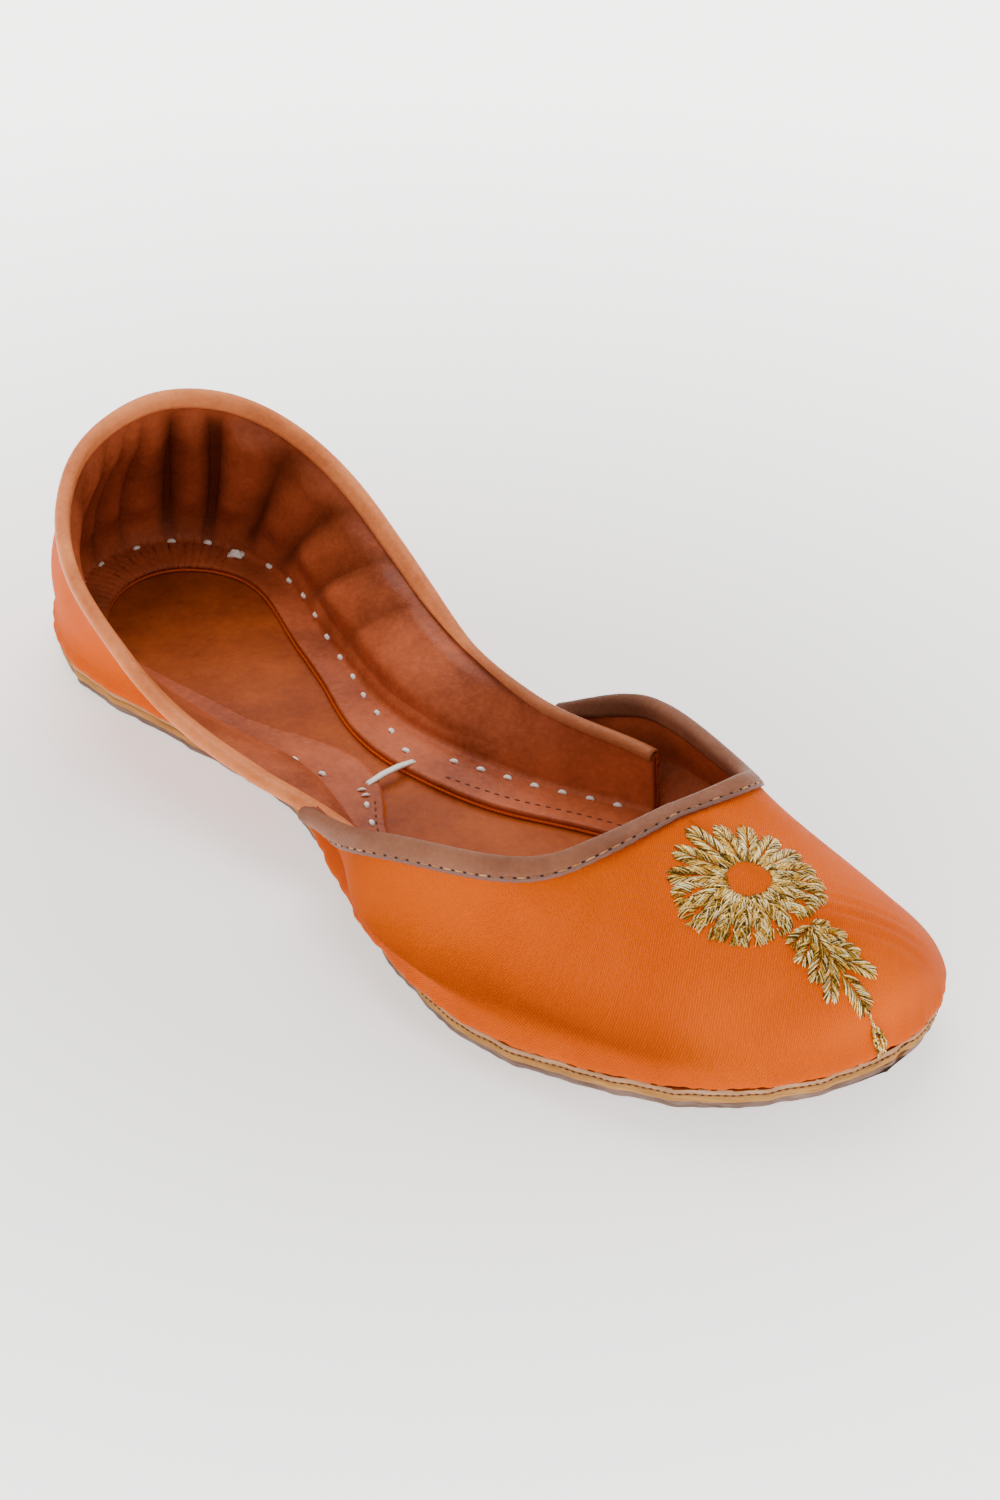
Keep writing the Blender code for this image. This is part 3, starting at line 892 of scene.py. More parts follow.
class UpperSettings(bpy.types.PropertyGroup):
    satin_thickness: a_length("Satin", "Thickness of the satin layer", 0.0005)
    lining_thickness: a_length("Lining", "Thickness of the lining leather", 0.0011)
    lining_fullness: a_length("Lining fullness", "How far the heel lining's cushions stand in", 0.0042)
    foot_swell: a_length("Vamp swell", "How far the vamp's foot swells over the sole", 0.0024)
    near_swell: a_number("Near wing swell", "Extra swell of the wing on the -X side, as a share", 0.85)
    vamp_lining_thickness: a_length("Vamp lining thickness", "Thickness of the vamp's lining", 0.00045)
    lining_foot_drop: a_length(
        "Lining foot drop", "How far the lining's foot reaches down to the insole", 0.0016
    )
    vamp_settle: a_length("Vamp settle", "How far the vamp's foot sits down over the sole", 0.0008)
    heel_swell: a_length("Heel swell", "How far the quarter's foot swells over the sole", 0.0026)
    heel_settle: a_length("Heel settle", "How far the quarter's foot hangs over the sole", 0.0016)
    satin_dark: a_colour("Satin shade", "Tone between the satin's threads", (0.60, 0.064, 0.0))
    satin_light: a_colour("Satin light", "Tone of the satin's raised threads", (1.0, 0.158, 0.0))
    twill_scale: bpy.props.FloatProperty(
        name="Twill", description="Lines of twill; higher is finer", default=9.0, min=1.0, max=20.0
    )
    lining_dark: a_colour("Lining shade", "Darker tone of the lining", (0.23, 0.042, 0.012))
    # Painted shade: the colour laid deep in the heel lining's folds, where shade falls
    lining_painted_shade: a_colour("Lining painted shade", "Painted shade deep in the lining's folds", (0.06, 0.010, 0.003))
    lining_light: a_colour("Lining light", "Lighter tone of the lining", (0.52, 0.112, 0.038))


class EdgingSettings(bpy.types.PropertyGroup):
    vamp_width: a_length("Throat edging", "Width outside", 0.0032)
    vamp_inner_width: a_length("Throat edging inside", "Width on the lining", 0.0030)
    vamp_thickness: a_length("Throat leather", "Thickness", 0.0007)
    quarter_width: a_length("Collar edging", "Width outside", 0.0032)
    quarter_inner_width: a_length("Collar edging inside", "Width on the lining", 0.0024)
    quarter_thickness: a_length("Collar leather", "Thickness", 0.0006)
    stitch_pitch: a_length("Stitch step", "From one needle hole to the next", 0.0029)


class StitchSettings(bpy.types.PropertyGroup):
    heel_pitch: a_length("Heel step", "From one white stitch to the next at the heel", 0.0083)
    front_pitch: a_length("Front step", "From one white stitch to the next in front", 0.0062)
    thread_width: a_length("White thread", "Width of the cotton thread", 0.0012)


class EmbroiderySettings(bpy.types.PropertyGroup):
    strand_width: a_length("Gold thread", "Width of one gold strand", 0.00023)
    eye_radius: a_length("Eye", "Radius of the bare middle", 0.0045)
    strands_a_side: bpy.props.IntProperty(
        name="Strands", description="Strands on each side of a petal", default=56, min=4, max=80
    )
    # Gold tones: the darkest also paints the shade under and between the strands, and the palest paints
    # highlights on them
    gold_dark_and_painted_shade: a_colour("Gold shade", "Dark tone of the gold thread and its painted shade", (0.065, 0.030, 0.003))
    gold_middle: a_colour("Gold", "Middle tone of the gold thread", (0.88, 0.47, 0.040))
    gold_pale_and_painted_highlight: a_colour("Gold light", "Pale tone of the gold thread and its painted highlights", (1.0, 0.90, 0.52))


class StageSettings(bpy.types.PropertyGroup):
    azimuth: an_angle("Azimuth", "Camera's turn round the shoe", -0.7208)
    elevation: an_angle("Elevation", "Camera's height angle", 0.5883)
    roll: an_angle("Roll", "Camera's roll", 0.0136)
    distance: a_length("Distance", "Camera to target", 0.9877)
    target: bpy.props.FloatVectorProperty(
        name="Target", description="Point the camera looks at", default=(0.01093, -0.00761, 0.020),
        subtype="XYZ",
    )
    lens: a_number("Lens", "Focal length in millimetres", 114.05)
    floor_colour: a_colour("Floor", "Colour of the floor", (0.90, 0.885, 0.865))
    floor_glow: a_number("Floor glow", "Light the floor gives itself", 3.4)
    # Painted shadow: the floor glows less beside the shoe
    floor_glow_in_painted_shadow: a_number("Glow in painted shadow", "The floor's glow beside the shoe, lowered to paint a shadow", 0.9)
    key_power: a_number("Key light", "Power of the large light", 30.0)
    fill_power: a_number("Fill light", "Power of the front light", 5.0)
    sky_strength: a_number("Sky", "Strength of the even light", 0.65)


class MOJARI_OT_sole(bpy.types.Operator):
    """Make the three layers of the sole with their hand-cut edges"""

    bl_idname = "mojari.sole"
    bl_label = "Sole"

    def execute(self, context):
        settings = context.scene.mojari_sole
        grey = cut_edge_finish("rough sole leather", (0.12, 0.07, 0.052), settings.grey_colour, 900.0)
        tan = cut_edge_finish("tan sole leather", (0.38, 0.165, 0.042), settings.tan_colour, 1500.0)
        pale = cut_edge_finish("pale leather edge", (0.42, 0.20, 0.09), settings.rim_colour, 1500.0)
        brown = leather_finish("brown insole leather", settings.insole_dark, settings.insole_light, 0.5, 620.0)
        layers = (
            ("outsole_cut", OUTSOLE_INSET, 0.0, OUTSOLE_THICKNESS, 0.34 * MM, 0.0),
            (
                "midsole_cut", MIDSOLE_INSET, MIDSOLE_BOTTOM - 0.28 * MM, MIDSOLE_THICKNESS + 0.3 * MM,
                0.16 * MM, 0.1 * MM,
            ),
            ("insole_sheet", 0.0, INSOLE_BOTTOM, INSOLE_THICKNESS, 0.10 * MM, 0.16 * MM),
        )
        outsole, midsole, insole = [
            sole_piece(name, inset, bottom, thickness, settings, seed, roughness, wobble)
            for seed, (name, inset, bottom, thickness, roughness, wobble) in enumerate(layers, 1)
        ]
        dress(outsole, [grey], ["outsole"])
        dress(midsole, [tan], ["midsole"])
        dress(insole, [brown, pale], ["insole"])
        for face in insole.data.polygons:
            if face.normal.z < 0.6:
                face.material_index = 1
        return {"FINISHED"}


class MOJARI_OT_vamp(bpy.types.Operator):
    """Make the satin vamp and its lining"""

    bl_idname = "mojari.vamp"
    bl_label = "Vamp"

    def execute(self, context):
        settings = context.scene.mojari_upper
        shares = np.linspace(-1, 1, VAMP_LINES)
        turns = vamp_turns(shares)
        rows = np.linspace(0, 1, VAMP_ROWS) ** 1.25
        outer = vamp_surface(shares, rows)
        outer = outer + grid_normals(outer, -1) * vamp_relief(outer, turns)[..., None]
        near_wing = ramp(-shares, 0.55, 0.85) * (1 - 0.6 * ramp(-shares, 0.92, 1.0))
        wing = (ramp(1 - shares, 0, 0.12) * (1 + settings.near_swell * near_wing))[:, None]
        outer = swell(outer, turns, settings.foot_swell * wing, 0.25, settings.vamp_settle)
        satin = lay_grid("vamp_satin", outer)
        thicken(satin, settings.satin_thickness, 1)
        dress(satin, [satin_finish(settings)], ["upper_vamp"])
        shares = np.linspace(-1, 1, VAMP_LINING_LINES)
        rows = np.linspace(0, 1, VAMP_LINING_ROWS)
        inner = eased(vamp_surface(shares, rows), 8)
        depth = settings.satin_thickness + LINING_GAP + LINING_SINK * (1 - rows**3)
        depth = depth + LINING_TAIL_SINK * tail_tuck(inner)
        inner = eased(inner - grid_normals(inner, -1) * depth[..., None], 6)
        inner[:, 0, 2] -= settings.lining_foot_drop
        lining = lay_grid("vamp_lining", inner)
        thicken(lining, settings.vamp_lining_thickness, 1)
        tones = settings.lining_dark, settings.lining_light
        # The lining leather, with its painted shade colour; only the heel lining carries the values that lay
        # that shade on
        leather = leather_finish("brown lining leather", *tones, 0.42, 760.0, painted_shade_and_dim_colour=settings.lining_painted_shade)
        dress(lining, [leather])
        return {"FINISHED"}


class MOJARI_OT_quarter(bpy.types.Operator):
    """Make the satin quarter and its folded lining with the turned-in margin"""

    bl_idname = "mojari.quarter"
    bl_label = "Quarter"

    def execute(self, context):
        settings = context.scene.mojari_upper
        turns = np.linspace(-QUARTER_FRONT_TURN, QUARTER_FRONT_TURN, QUARTER_LINES)
        rows = np.linspace(0, 1, QUARTER_ROWS)
        wall = quarter_wall(turns, rows)
        margin = quarter_margin(turns, 0.30 * MM, MARGIN_ROWS, BEND_ROWS, 0.45)
        whole = np.concatenate([margin, wall], axis=1)
        tuck = np.clip(lengthwise(COLLAR, "tuck", along_of_turn(turns)), 0, 1)
        share = np.concatenate([np.zeros(MARGIN_ROWS), np.linspace(0, 1, BEND_ROWS) ** 0.3, np.ones(len(rows))])
        amounts = settings.heel_swell * (1 - tuck)[:, None] * share
        whole = swell(whole, turns, amounts, 0.05, settings.heel_settle)
        satin = lay_grid("quarter_satin", whole)
        thicken(satin, settings.satin_thickness, -1)
        dress(satin, [bpy.data.materials["orange satin"]], ["upper_quarter"])
        whole = np.concatenate([quarter_margin(turns, 0.0, MARGIN_ROWS, BEND_ROWS), wall], axis=1)
        inward = -grid_normals(whole, 1)
        below = np.linspace(-1, 0, MARGIN_ROWS + BEND_ROWS, endpoint=False)
        height = np.broadcast_to(np.concatenate([below, rows]), whole.shape[:2])
        spread = np.broadcast_to(turns[:, None], whole.shape[:2])
        cushion, trough = fold_cushions(spread, np.maximum(height, 0))
        fade = ramp(height, 0.05, 0.24) * ramp(-height, -0.93, -0.70)
        bulge = settings.lining_fullness * cushion * fade
        gather = ramp(-np.abs(spread - 0.01), -0.19, -0.12) * np.sin(np.pi * np.clip(-height, 0, 1)) ** 0.6
        pleats = np.sin(2 * np.pi * spread * 78 + 3 * height) + 0.5 * np.sin(2 * np.pi * spread * 119 + 1)
        bulge = bulge + gather * (1.0 + 0.35 * pleats) * MM
        soft = 0.30 * MM * lumps(whole, 0.013, 5) * ramp(-height, -0.95, -0.8) * ramp(height, -0.1, 0.1)
        depth = settings.satin_thickness + 0.05 * MM + np.maximum(bulge + soft, 0)
        lining = lay_grid("quarter_lining", whole + inward * depth[..., None])
        # Painted shade: the lining's colour darkens deep in the troughs between its cushions, where shade falls
        set_painted_shade_and_dim(lining, 0.85 * trough**1.6 * ramp(height, -0.1, 0.12) * ramp(-height, -1.0, -0.75))
        thicken(lining, settings.lining_thickness, -1)
        dress(lining, [bpy.data.materials["brown lining leather"]])
        return {"FINISHED"}


class MOJARI_OT_edgings(bpy.types.Operator):
    """Fold the leather edgings over the throat and the collar, with their needle holes and thread"""

    bl_idname = "mojari.edgings"
    bl_label = "Edgings"

    def fold_over(self, name, edge, width, inner_width, thickness, side, puff, dim=0.0):
        """A strip folded over an edge: rows up the outside, round the top and down the inside. Dim is how far
        it takes its darker tone along its length, from 0 to 1."""
        rows = []
        for share, stand in EDGING_SWELL:
            rows.append(edge.place(share * width, EDGING_GAP + puff * stand * MM))
        radius = 0.5 * WALL_LAYERS + EDGING_GAP
        out, rise = edge.out[:, -1], edge.rise[:, -1]
        middle = edge.wall[:, -1] - 0.5 * WALL_LAYERS * out
        for angle in np.linspace(0, np.pi, 9):
            rows.append(middle + radius * (np.cos(angle) * out + np.sin(angle) * rise))
        for share in (0.35, 0.7, 1.0):
            rows.append(edge.place(share * inner_width, -(WALL_LAYERS + EDGING_GAP)))
        made = lay_grid(name, np.stack(rows, axis=1))
        # The edging's darker tone along part of its length, through the same values that carry the lining's
        # painted shade
        set_painted_shade_and_dim(made, np.broadcast_to(dim, (len(rows), len(rows[0]))).T)
        thicken(made, thickness, side)
        return made

    def execute(self, context):
        settings = context.scene.mojari_edging
        shares = np.linspace(-1, 1, EDGING_LINES)
        throat = Edge(vamp_surface(shares, np.linspace(0.4, 1, THROAT_ROWS)), -1)
        ripple = np.cos(2 * np.pi * runs(throat.wall[:, -1]) / settings.stitch_pitch)
        scallop = settings.vamp_width * (1 + 0.022 * ripple)
        dark = leather_finish(
            "dark edging leather", (0.165, 0.055, 0.027), (0.30, 0.115, 0.060), 0.5, 900.0,
            (0.22, 0.105, 0.078), (0.10, 0.032, 0.014),
        )
        made = self.fold_over(
            "throat_edging", throat, scallop, settings.vamp_inner_width, settings.vamp_thickness, -1, 1.0,
            0.7 * ramp(shares, 0.50, 0.80),
        )
        dress(made, [dark], ["vamp_binding"])
        turns = np.linspace(-QUARTER_FRONT_TURN, QUARTER_FRONT_TURN, EDGING_LINES)
        collar = Edge(quarter_wall(turns, np.linspace(0.05, 1, COLLAR_ROWS)), 1)
        light = leather_finish(
            "light edging leather", (0.60, 0.155, 0.045), (0.94, 0.30, 0.10), 0.46, 800.0,
            (0.27, 0.11, 0.07), (0.20, 0.055, 0.022),
        )
        inner_width = settings.quarter_inner_width * (1 - 0.75 * ramp(turns, 0.36, 0.47))
        made = self.fold_over(
            "collar_edging", collar, settings.quarter_width, inner_width, settings.quarter_thickness, 1, 0.8,
            0.7 * ramp(turns, 0.40, 0.52),
        )
        dress(made, [light], ["quarter_binding"])
        self.sew(settings, throat)
        return {"FINISHED"}

    def sew(self, settings, throat):
        """The row of needle holes, painted as small dark shadows, and tan thread along the throat edging."""
        depth = 0.76 * settings.vamp_width
        surface = EDGING_GAP + settings.vamp_thickness + 0.02 * MM
        line = throat.place(depth, surface)
        up = throat.take(throat.out, depth)
        place, ahead = walk(line, settings.stitch_pitch, 0.0015)
        nearest = np.argmin(np.linalg.norm(line[None] - place[:, None], axis=2), axis=1)
        above = up[nearest]
        # Painted shadow: small near-black strands stand where the needle holes' shade falls
        joined = laid(place, ahead, above, HOLE_REACH, 0.05 * MM)
        holes = strands("throat_needle_holes", *joined, 0.62 * MM, 0.30 * MM, 0.2)
        shades = (0.012, 0.004, 0.002), (0.02, 0.007, 0.004), (0.03, 0.01, 0.005)
        dress(holes, [thread_finish("needle hole shadow", *shades, 0.9, 0.0)])
        start = place + 0.36 * MM * ahead - 0.05 * MM * above
        end = place + (settings.stitch_pitch - 0.36 * MM) * ahead - 0.05 * MM * above
        threads = strands(
            "throat_thread", start, 0.5 * (start + end) + 0.12 * MM * above, end, above, 0.38 * MM, 0.26 * MM,
            np.random.default_rng(7).random(len(start)),
        )
        shades = (0.17, 0.055, 0.018), (0.40, 0.165, 0.055), (0.66, 0.34, 0.13)
        dress(threads, [thread_finish("tan thread", *shades, 0.65, 0.0)])


class MOJARI_OT_stitches(bpy.types.Operator):
    """Sew the margin to the insole with white cotton, tie the two margins and add the fine dark seam"""

    bl_idname = "mojari.stitches"
    bl_label = "Hand stitches"

    def sewing_line(self, side, low, high):
        turns = np.linspace(low, high, 160)
        inset = smooth(column(SEWING, "turn"), column(SEWING, "far" if side > 0 else "near"), turns)
        return plan(side * turns, BALL_WIDTH * inset, UPPER_BOTTOM + 7 * MM)

    def fine_line(self, side, share_in, low, high):
        turns = side * np.linspace(low, high, 160)
        _, seam, edge = margin_insets(turns)
        return plan(turns, seam + share_in * (edge - seam), UPPER_BOTTOM + 7 * MM)

    def execute(self, context):
        settings = context.scene.mojari_stitch
        lining = tree_of(bpy.data.objects["quarter_lining"])
        shades = (0.60, 0.50, 0.43), (0.90, 0.80, 0.72), (1.0, 0.95, 0.90)
        white = thread_finish("white cotton", *shades, 0.8, 0.0)
        stretches = (
            (1, 0.005, 0.453, settings.heel_pitch),
            (-1, 0.020, 0.453, settings.heel_pitch),
            (1, 0.466, 0.572, settings.front_pitch),
            (-1, 0.466, 0.560, settings.front_pitch),
        )
        parts = []
        for side, low, high, pitch in stretches:
            place, ahead = walk(self.sewing_line(side, low, high), pitch, 0.4 * pitch)
            place, normal = drop(lining, place, DOWN)
            parts.append(laid(place, ahead, normal, STITCH_REACH, 0.28 * MM, 0.25 * MM))
        joined = [np.concatenate(part) for part in zip(*parts)]
        tones = 0.35 + 0.5 * np.random.default_rng(4).random(len(joined[0]))
        made = strands("margin_stitches", *joined, settings.thread_width, settings.thread_width * 0.8, tones)
        dress(made, [white])
        self.tie(white, lining)
        self.fine_seam(lining)
        self.edge_seam(context.scene.mojari_sole)
        return {"FINISHED"}

    def tie(self, white, lining):
        """The thread that crosses the waist from margin to margin, and the knot at the heel."""
        place, _ = drop(lining, TIE_ENDS, DOWN)
        starts, middles, ends = [], [], []
        for shift in (-0.34, 0.34):
            aside = np.array([0, shift * MM, 0])
            starts.append(place[0] + aside - 0.3 * MM * UP)
            middles.append(0.5 * (place[0] + place[1]) + aside + 0.55 * MM * UP)
            ends.append(place[1] + aside - 0.3 * MM * UP)
        knot, _ = drop(lining, KNOT, DOWN)
        lay = np.array([0.5, -0.85, 0.1])
        for reach, aside, lift_by in ((2.1, 0.5, 0.7), (1.9, -0.5, 0.8), (1.4, 0.0, 1.5)):
            shift = np.array([0.85, 0.5, 0]) * aside * MM
            starts.append(knot[0] - reach * MM * lay + shift)
            middles.append(knot[0] + shift + lift_by * MM * UP)
            ends.append(knot[0] + reach * MM * lay + shift)
        small, _ = drop(lining, SMALL_STITCHES, DOWN)
        for point in small:
            starts.append(point + np.array([-0.8, 0.5, 0.0]) * MM)
            middles.append(point + 0.4 * MM * UP)
            ends.append(point + np.array([0.8, -0.5, 0.0]) * MM)
        made = strands(
            "waist_tie_and_knot", starts, middles, ends, np.tile(UP, (len(starts), 1)),
            [1.05 * MM] * 2 + [1.5 * MM] * 3 + [0.8 * MM] * 2, [1.0 * MM] * 2 + [1.3 * MM] * 3 + [0.7 * MM] * 2,
            [0.85, 0.75, 0.7, 0.8, 0.75, 0.45, 0.4],
        )
        dress(made, [white])

    def fine_seam(self, lining):
        """The dark machine seam between the white stitches and the margin's edge."""
        parts = []
        for side, share_in, low, high in ((1, 0.62, 0.475, 0.572), (-1, 0.58, 0.470, 0.560)):
            place, ahead = walk(self.fine_line(side, share_in, low, high), 2.3 * MM, 0.5 * MM)
            place, normal = drop(lining, place, DOWN)
            parts.append(laid(place, ahead, normal, FINE_REACH, 0.06 * MM))
        joined = [np.concatenate(part) for part in zip(*parts)]
        shades = (0.05, 0.012, 0.004), (0.10, 0.025, 0.008), (0.16, 0.05, 0.02)
        dark = thread_finish("dark seam thread", *shades, 0.7, 0.0)
        dress(strands("margin_fine_seam", *joined, 0.42 * MM, 0.3 * MM, 0.4), [dark])

    def edge_seam(self, sole):
        """The fine dark stitches between the sole's pale and tan layers, round its front."""
        turns = np.concatenate([np.linspace(0.50, 1, 240), np.linspace(-1, -0.50, 240)])
        line = plan(turns, -0.10 * MM - edge_wave(turns, sole), INSOLE_BOTTOM + 0.05 * MM)
        place, ahead = walk(line, 1.5 * MM)
        dark = bpy.data.materials["dark seam thread"]
        joined = laid(place, ahead, np.cross(ahead, UP), HOLE_REACH)
        dress(strands("sole_edge_seam", *joined, 0.34 * MM, 0.22 * MM, 0.3), [dark])


class Motif:
    """A flat drawing board held over the vamp: drawn points drop onto the satin along its normal."""

    def __init__(self, tree, middle, normal, ahead):
        self.tree = tree
        self.middle = np.asarray(middle, float)
        self.normal = np.asarray(normal, float) / np.linalg.norm(normal)
        ahead = np.asarray(ahead, float)
        ahead = ahead - ahead.dot(self.normal) * self.normal
        self.ahead = ahead / np.linalg.norm(ahead)
        self.across = np.cross(self.normal, self.ahead)

    def place(self, drawn):
        drawn = np.asarray(drawn, float)
        points = self.middle + drawn[:, :1] * self.ahead + drawn[:, 1:] * self.across
        return drop(self.tree, points, -self.normal, 0.04)


def feather(root, tip, half_width, count, dice, spread=0.24, comb=0.12, blunt=0.62):
    """Drawn starts and ends of one petal's strands, which lie from its vein out to both edges."""
    root, tip = np.asarray(root, float), np.asarray(tip, float)
    run = tip - root
    length = np.hypot(*run)
    ahead = run / length
    side = np.array([-ahead[1], ahead[0]])
    starts, ends = [], []
    for hand in (-1, 1):
        for step in range(count):
            share = (step + dice.random()) / count
            width = half_width * (blunt + (1 - blunt) * np.sin(np.pi * min(share * 0.62 + 0.2, 1)))
            width *= 1 - ramp(share, 0.72, 1.08) * 0.55
            begin = share * length * 0.84 - 0.05 * length
            finish = begin + spread * length + 0.05 * length * dice.random()
            finish = min(finish, length * (0.97 + 0.06 * dice.random()))
            inner = hand * half_width * comb * dice.random()
            outer = hand * width * (0.9 + 0.25 * dice.random())
            outer *= 1 - ramp(share, 0.8, 1.0) * dice.random() * 0.9
            starts.append(root + ahead * begin + side * inner)
            ends.append(root + ahead * finish + side * outer)
    return starts, ends


class MOJARI_OT_embroidery(bpy.types.Operator):
    """Embroider the gold flower, leaf and tail on the vamp"""

    bl_idname = "mojari.embroidery"
    bl_label = "Embroidery"

    def sew(self, name, motif, starts, ends, settings, dice, material, shadow_padded):
        """Lays the drawn strands on the satin, over a layer of wider darker ones where it is padded; that
        darker layer is painted shade between the strands.
        """
        starts, ends = np.array(starts), np.array(ends)
        low, low_normal = motif.place(starts)
        high, high_normal = motif.place(ends)
        middle, normal = motif.place(0.5 * (starts + ends))
        count = len(starts)
        lift_by = (0.30 + 0.34 * dice.random(count))[:, None] * MM
        width = settings.strand_width * (0.8 + 0.5 * dice.random(count))
        tones = np.clip(0.47 + 0.44 * dice.standard_normal(count), 0.0, 1.0)
        low_end, high_end = low - 0.02 * MM * low_normal, high - 0.05 * MM * high_normal
        parts = [[low_end, middle + lift_by * normal, high_end, normal]]
        widths, heights, values = [width], [width * 0.85], [tones]
        # Painted shade: wider strands in the gold's darkest tones lie under every second strand, so the gaps
        # between strands read as shadow
        if shadow_padded:
            under = slice(0, count, 2)
            base = [low[under], middle[under] + 0.10 * MM * normal[under], high[under], normal[under]]
            base[2] = base[0] + 0.93 * (base[2] - base[0])
            parts.append(base)
            amount = len(base[0])
            widths.append(np.full(amount, settings.strand_width * 3.0))
            heights.append(np.full(amount, settings.strand_width * 1.0))
            values.append(np.clip(0.16 + 0.10 * dice.random(amount), 0, 1))
        joined = [np.concatenate([part[k] for part in parts]) for k in range(4)]
        made = strands(name, *joined, np.concatenate(widths), np.concatenate(heights), np.concatenate(values))
        dress(made, [material])

    def execute(self, context):
        settings = context.scene.mojari_embroidery
        dice = np.random.default_rng(11)
        satin = tree_of(bpy.data.objects["vamp_satin"])
        shades = settings.gold_dark_and_painted_shade, settings.gold_middle, settings.gold_pale_and_painted_highlight
        gold = thread_finish("gold thread", *shades, 0.34, 0.72)
        flower = Motif(satin, *FLOWER_BOARD)
        starts, ends = [], []
        for petal in PETALS:
            way = np.array([np.cos(np.radians(petal.angle)), np.sin(np.radians(petal.angle))])
            blunt = 0.62 + 0.4 * ramp(petal.comb, 0.4, 0.7)
            first, last = feather(
                way * settings.eye_radius, way * petal.reach, petal.half_width, settings.strands_a_side, dice,
                0.26, petal.comb, blunt,
            )
            starts += first
            ends += last
        for step in range(EYE_STRANDS):
            angle = 2 * np.pi * (step + dice.random()) / EYE_STRANDS
            twist = 0.35 * (dice.random() - 0.5)
            inner = settings.eye_radius * (0.94 + 0.08 * dice.random())
            outer = inner + (2.2 + 2.2 * dice.random()) * MM
            starts.append(inner * np.array([np.cos(angle), np.sin(angle)]))
            ends.append(outer * np.array([np.cos(angle + twist), np.sin(angle + twist)]))
        self.sew("flower_gold_thread", flower, starts, ends, settings, dice, gold, True)
        leaf = Motif(satin, *LEAF_BOARD)
        starts, ends = [], []
        for lobe in LEAF:
            root, tip = (lobe.root_ahead, lobe.root_across), (lobe.tip_ahead, lobe.tip_across)
            first, last = feather(root, tip, lobe.half_width, LEAF_STRANDS, dice, 0.3)
            starts += first
            ends += last
        self.sew("leaf_gold_thread", leaf, starts, ends, settings, dice, gold, True)
        self.tail(satin, settings, dice, gold)
        return {"FINISHED"}

    def tail(self, satin, settings, dice, gold):
        """The chain of gold thread from the leaf down to the sole."""
        board = Motif(satin, *TAIL_BOARD)
        starts, ends = [], []
        chain = np.linspace(-0.0056, -0.0014, 7)
        for low, high in zip(chain[:-1], chain[1:]):
            for hand in (-1, 1):
                starts.append((low, hand * 0.0003))
                ends.append((high + 0.0006, -hand * 0.0003))
        bow = np.linspace(0, 1, 12)
        for hand in (-1, 1):
            for layer in (1.0, 0.84, 0.68, 0.52, 0.36, 0.18):
                ahead = -0.0018 + 0.0106 * bow
                across = hand * layer * 0.00135 * np.sin(np.pi * bow) ** 0.6
                starts += list(zip(ahead[:-1], across[:-1]))
                ends += list(zip(ahead[1:] + 0.0004, across[1:]))
        self.sew("tail_gold_thread", board, starts, ends, settings, dice, gold, False)


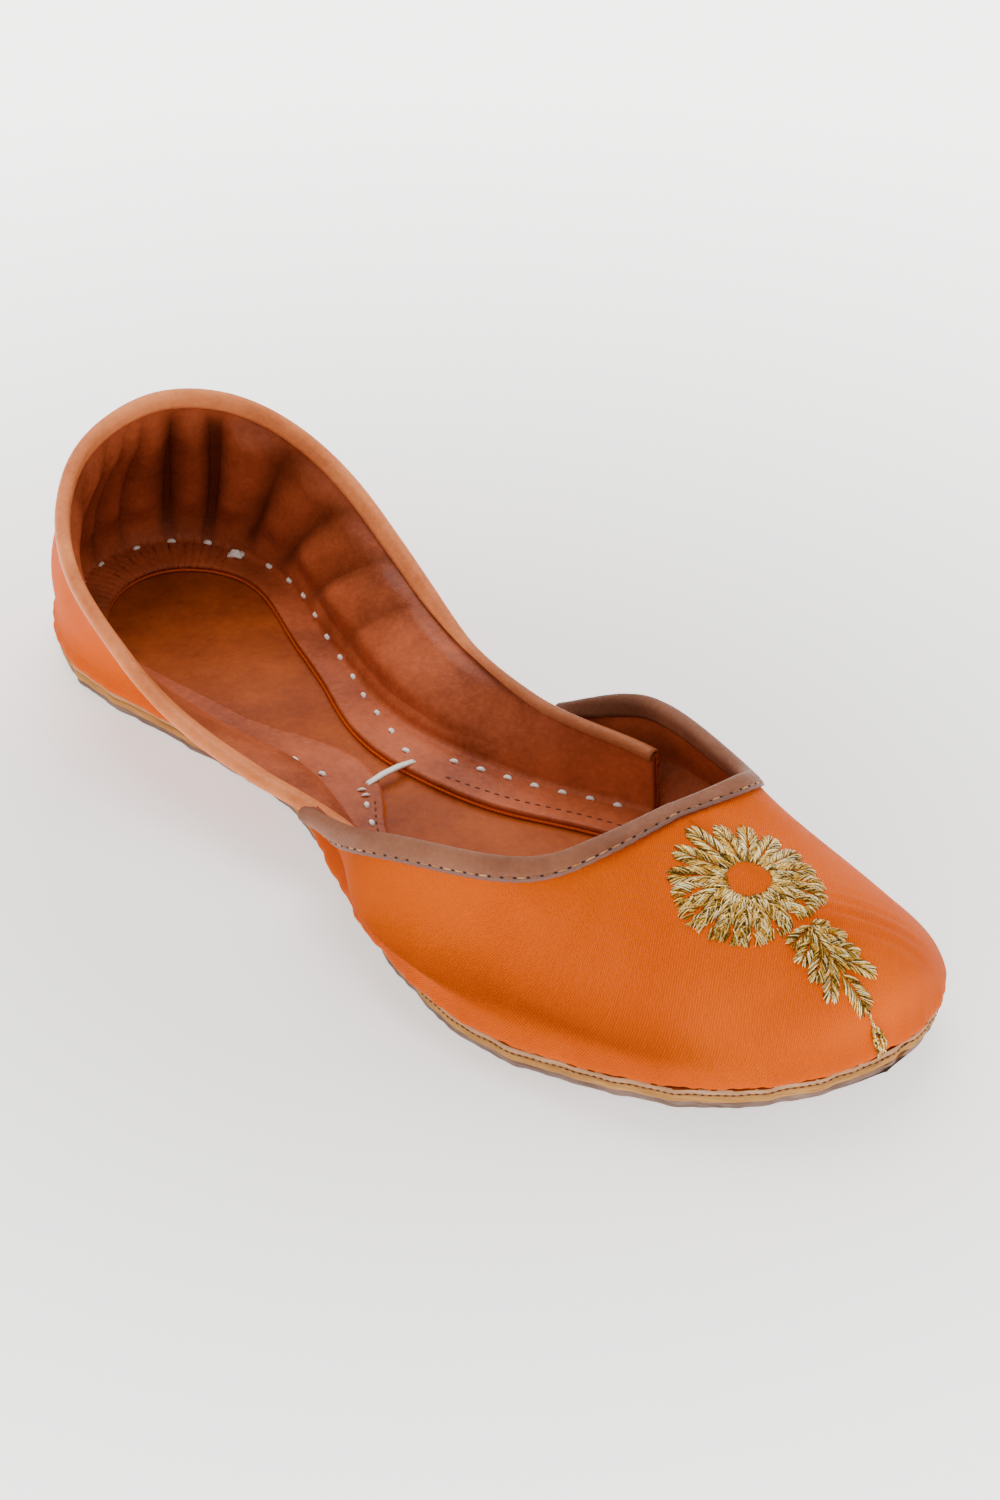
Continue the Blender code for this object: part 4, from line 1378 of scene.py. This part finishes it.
class MOJARI_OT_stage(bpy.types.Operator):
    """Set the pale floor, the soft lights and the camera"""

    bl_idname = "mojari.stage"
    bl_label = "Stage"

    def execute(self, context):
        settings = context.scene.mojari_stage
        bpy.ops.object.select_all(action="DESELECT")
        bpy.ops.mesh.primitive_plane_add(size=40.0)
        floor = context.active_object
        floor.name = "floor"
        pale = Finish("pale floor", Roughness=0.75, Specular_IOR_Level=0.2, Base_Color=settings.floor_colour)
        pale.shade("Emission Color", (1.0, 0.985, 0.965))
        # The floor glows, and less beside the shoe, which paints a soft shadow round it
        away = pale.node("ShaderNodeVectorMath", ((0, pale.place()),), operation="LENGTH")["Value"]
        glow = pale.stretch(away, 0.08, 0.36, settings.floor_glow_in_painted_shadow, settings.floor_glow)
        pale.shade("Emission Strength", glow)
        floor.data.materials.append(pale.made)
        self.light("key", (0.55, 0.75, 1.55), 1.6, settings.key_power, (1.0, 0.985, 0.965))
        self.light("fill", (-1.35, -0.65, 0.85), 1.5, settings.fill_power, (1.0, 0.99, 0.98))
        world = bpy.data.worlds.new("even light")
        world.use_nodes = True
        sky = world.node_tree.nodes["Background"].inputs
        sky["Color"].default_value = (1.0, 0.99, 0.975, 1)
        sky["Strength"].default_value = settings.sky_strength
        context.scene.world = world
        self.camera(context, settings)
        return {"FINISHED"}

    def light(self, name, place, size, power, colour):
        bpy.ops.object.light_add(type="AREA", location=place)
        lamp = bpy.context.active_object
        lamp.name = name
        lamp.data.shape = "DISK"
        lamp.data.size = size
        lamp.data.energy = power
        lamp.data.color = colour
        lamp.rotation_euler = (Vector((0, 0, 0.02)) - Vector(place)).to_track_quat("-Z", "Y").to_euler()

    def camera(self, context, settings):
        """A camera at the photograph's angle, rolled a little."""
        back = Vector((
            np.sin(settings.azimuth) * np.cos(settings.elevation),
            -np.cos(settings.azimuth) * np.cos(settings.elevation),
            np.sin(settings.elevation),
        ))
        right = Vector((0, 0, 1)).cross(back).normalized()
        up = back.cross(right)
        turned_right = right * np.cos(settings.roll) + up * np.sin(settings.roll)
        turned_up = up * np.cos(settings.roll) - right * np.sin(settings.roll)
        bpy.ops.object.camera_add()
        camera = context.active_object
        camera.name = "camera"
        place = Vector(settings.target) + back * settings.distance
        turn = Matrix((turned_right, turned_up, back)).transposed().to_4x4()
        camera.matrix_world = Matrix.Translation(place) @ turn
        camera.data.sensor_width = 36.0
        camera.data.lens = settings.lens
        camera.data.clip_end = 100.0
        context.scene.camera = camera


class MOJARI_PT_panel(bpy.types.Panel):
    """Sizes, colours and makers of the shoe's pieces"""

    bl_label = "Mojari"
    bl_idname = "MOJARI_PT_panel"
    bl_space_type = "VIEW_3D"
    bl_region_type = "UI"
    bl_category = "Mojari"

    def draw(self, context):
        for operator, group in PARTS:
            box = self.layout.box()
            box.operator(operator.bl_idname)
            if group:
                settings = getattr(context.scene, group)
                for name in settings.__annotations__:
                    box.prop(settings, name)


GROUPS = {
    "mojari_sole": SoleSettings,
    "mojari_upper": UpperSettings,
    "mojari_edging": EdgingSettings,
    "mojari_stitch": StitchSettings,
    "mojari_embroidery": EmbroiderySettings,
    "mojari_stage": StageSettings,
}
PARTS = (
    (MOJARI_OT_sole, "mojari_sole"),
    (MOJARI_OT_vamp, "mojari_upper"),
    (MOJARI_OT_quarter, None),
    (MOJARI_OT_edgings, "mojari_edging"),
    (MOJARI_OT_stitches, "mojari_stitch"),
    (MOJARI_OT_embroidery, "mojari_embroidery"),
    (MOJARI_OT_stage, "mojari_stage"),
)


def register():
    for group in GROUPS.values():
        bpy.utils.register_class(group)
    for operator, _ in PARTS:
        bpy.utils.register_class(operator)
    bpy.utils.register_class(MOJARI_PT_panel)
    for name, group in GROUPS.items():
        setattr(bpy.types.Scene, name, bpy.props.PointerProperty(type=group))


def unregister():
    for name in GROUPS:
        delattr(bpy.types.Scene, name)
    bpy.utils.unregister_class(MOJARI_PT_panel)
    for operator, _ in reversed(PARTS):
        bpy.utils.unregister_class(operator)
    for group in GROUPS.values():
        bpy.utils.unregister_class(group)


def main():
    register()
    bpy.ops.mojari.sole()
    bpy.ops.mojari.vamp()
    bpy.ops.mojari.quarter()
    bpy.ops.mojari.edgings()
    bpy.ops.mojari.stitches()
    bpy.ops.mojari.embroidery()
    bpy.ops.mojari.stage()


if __name__ == "__main__":
    main()
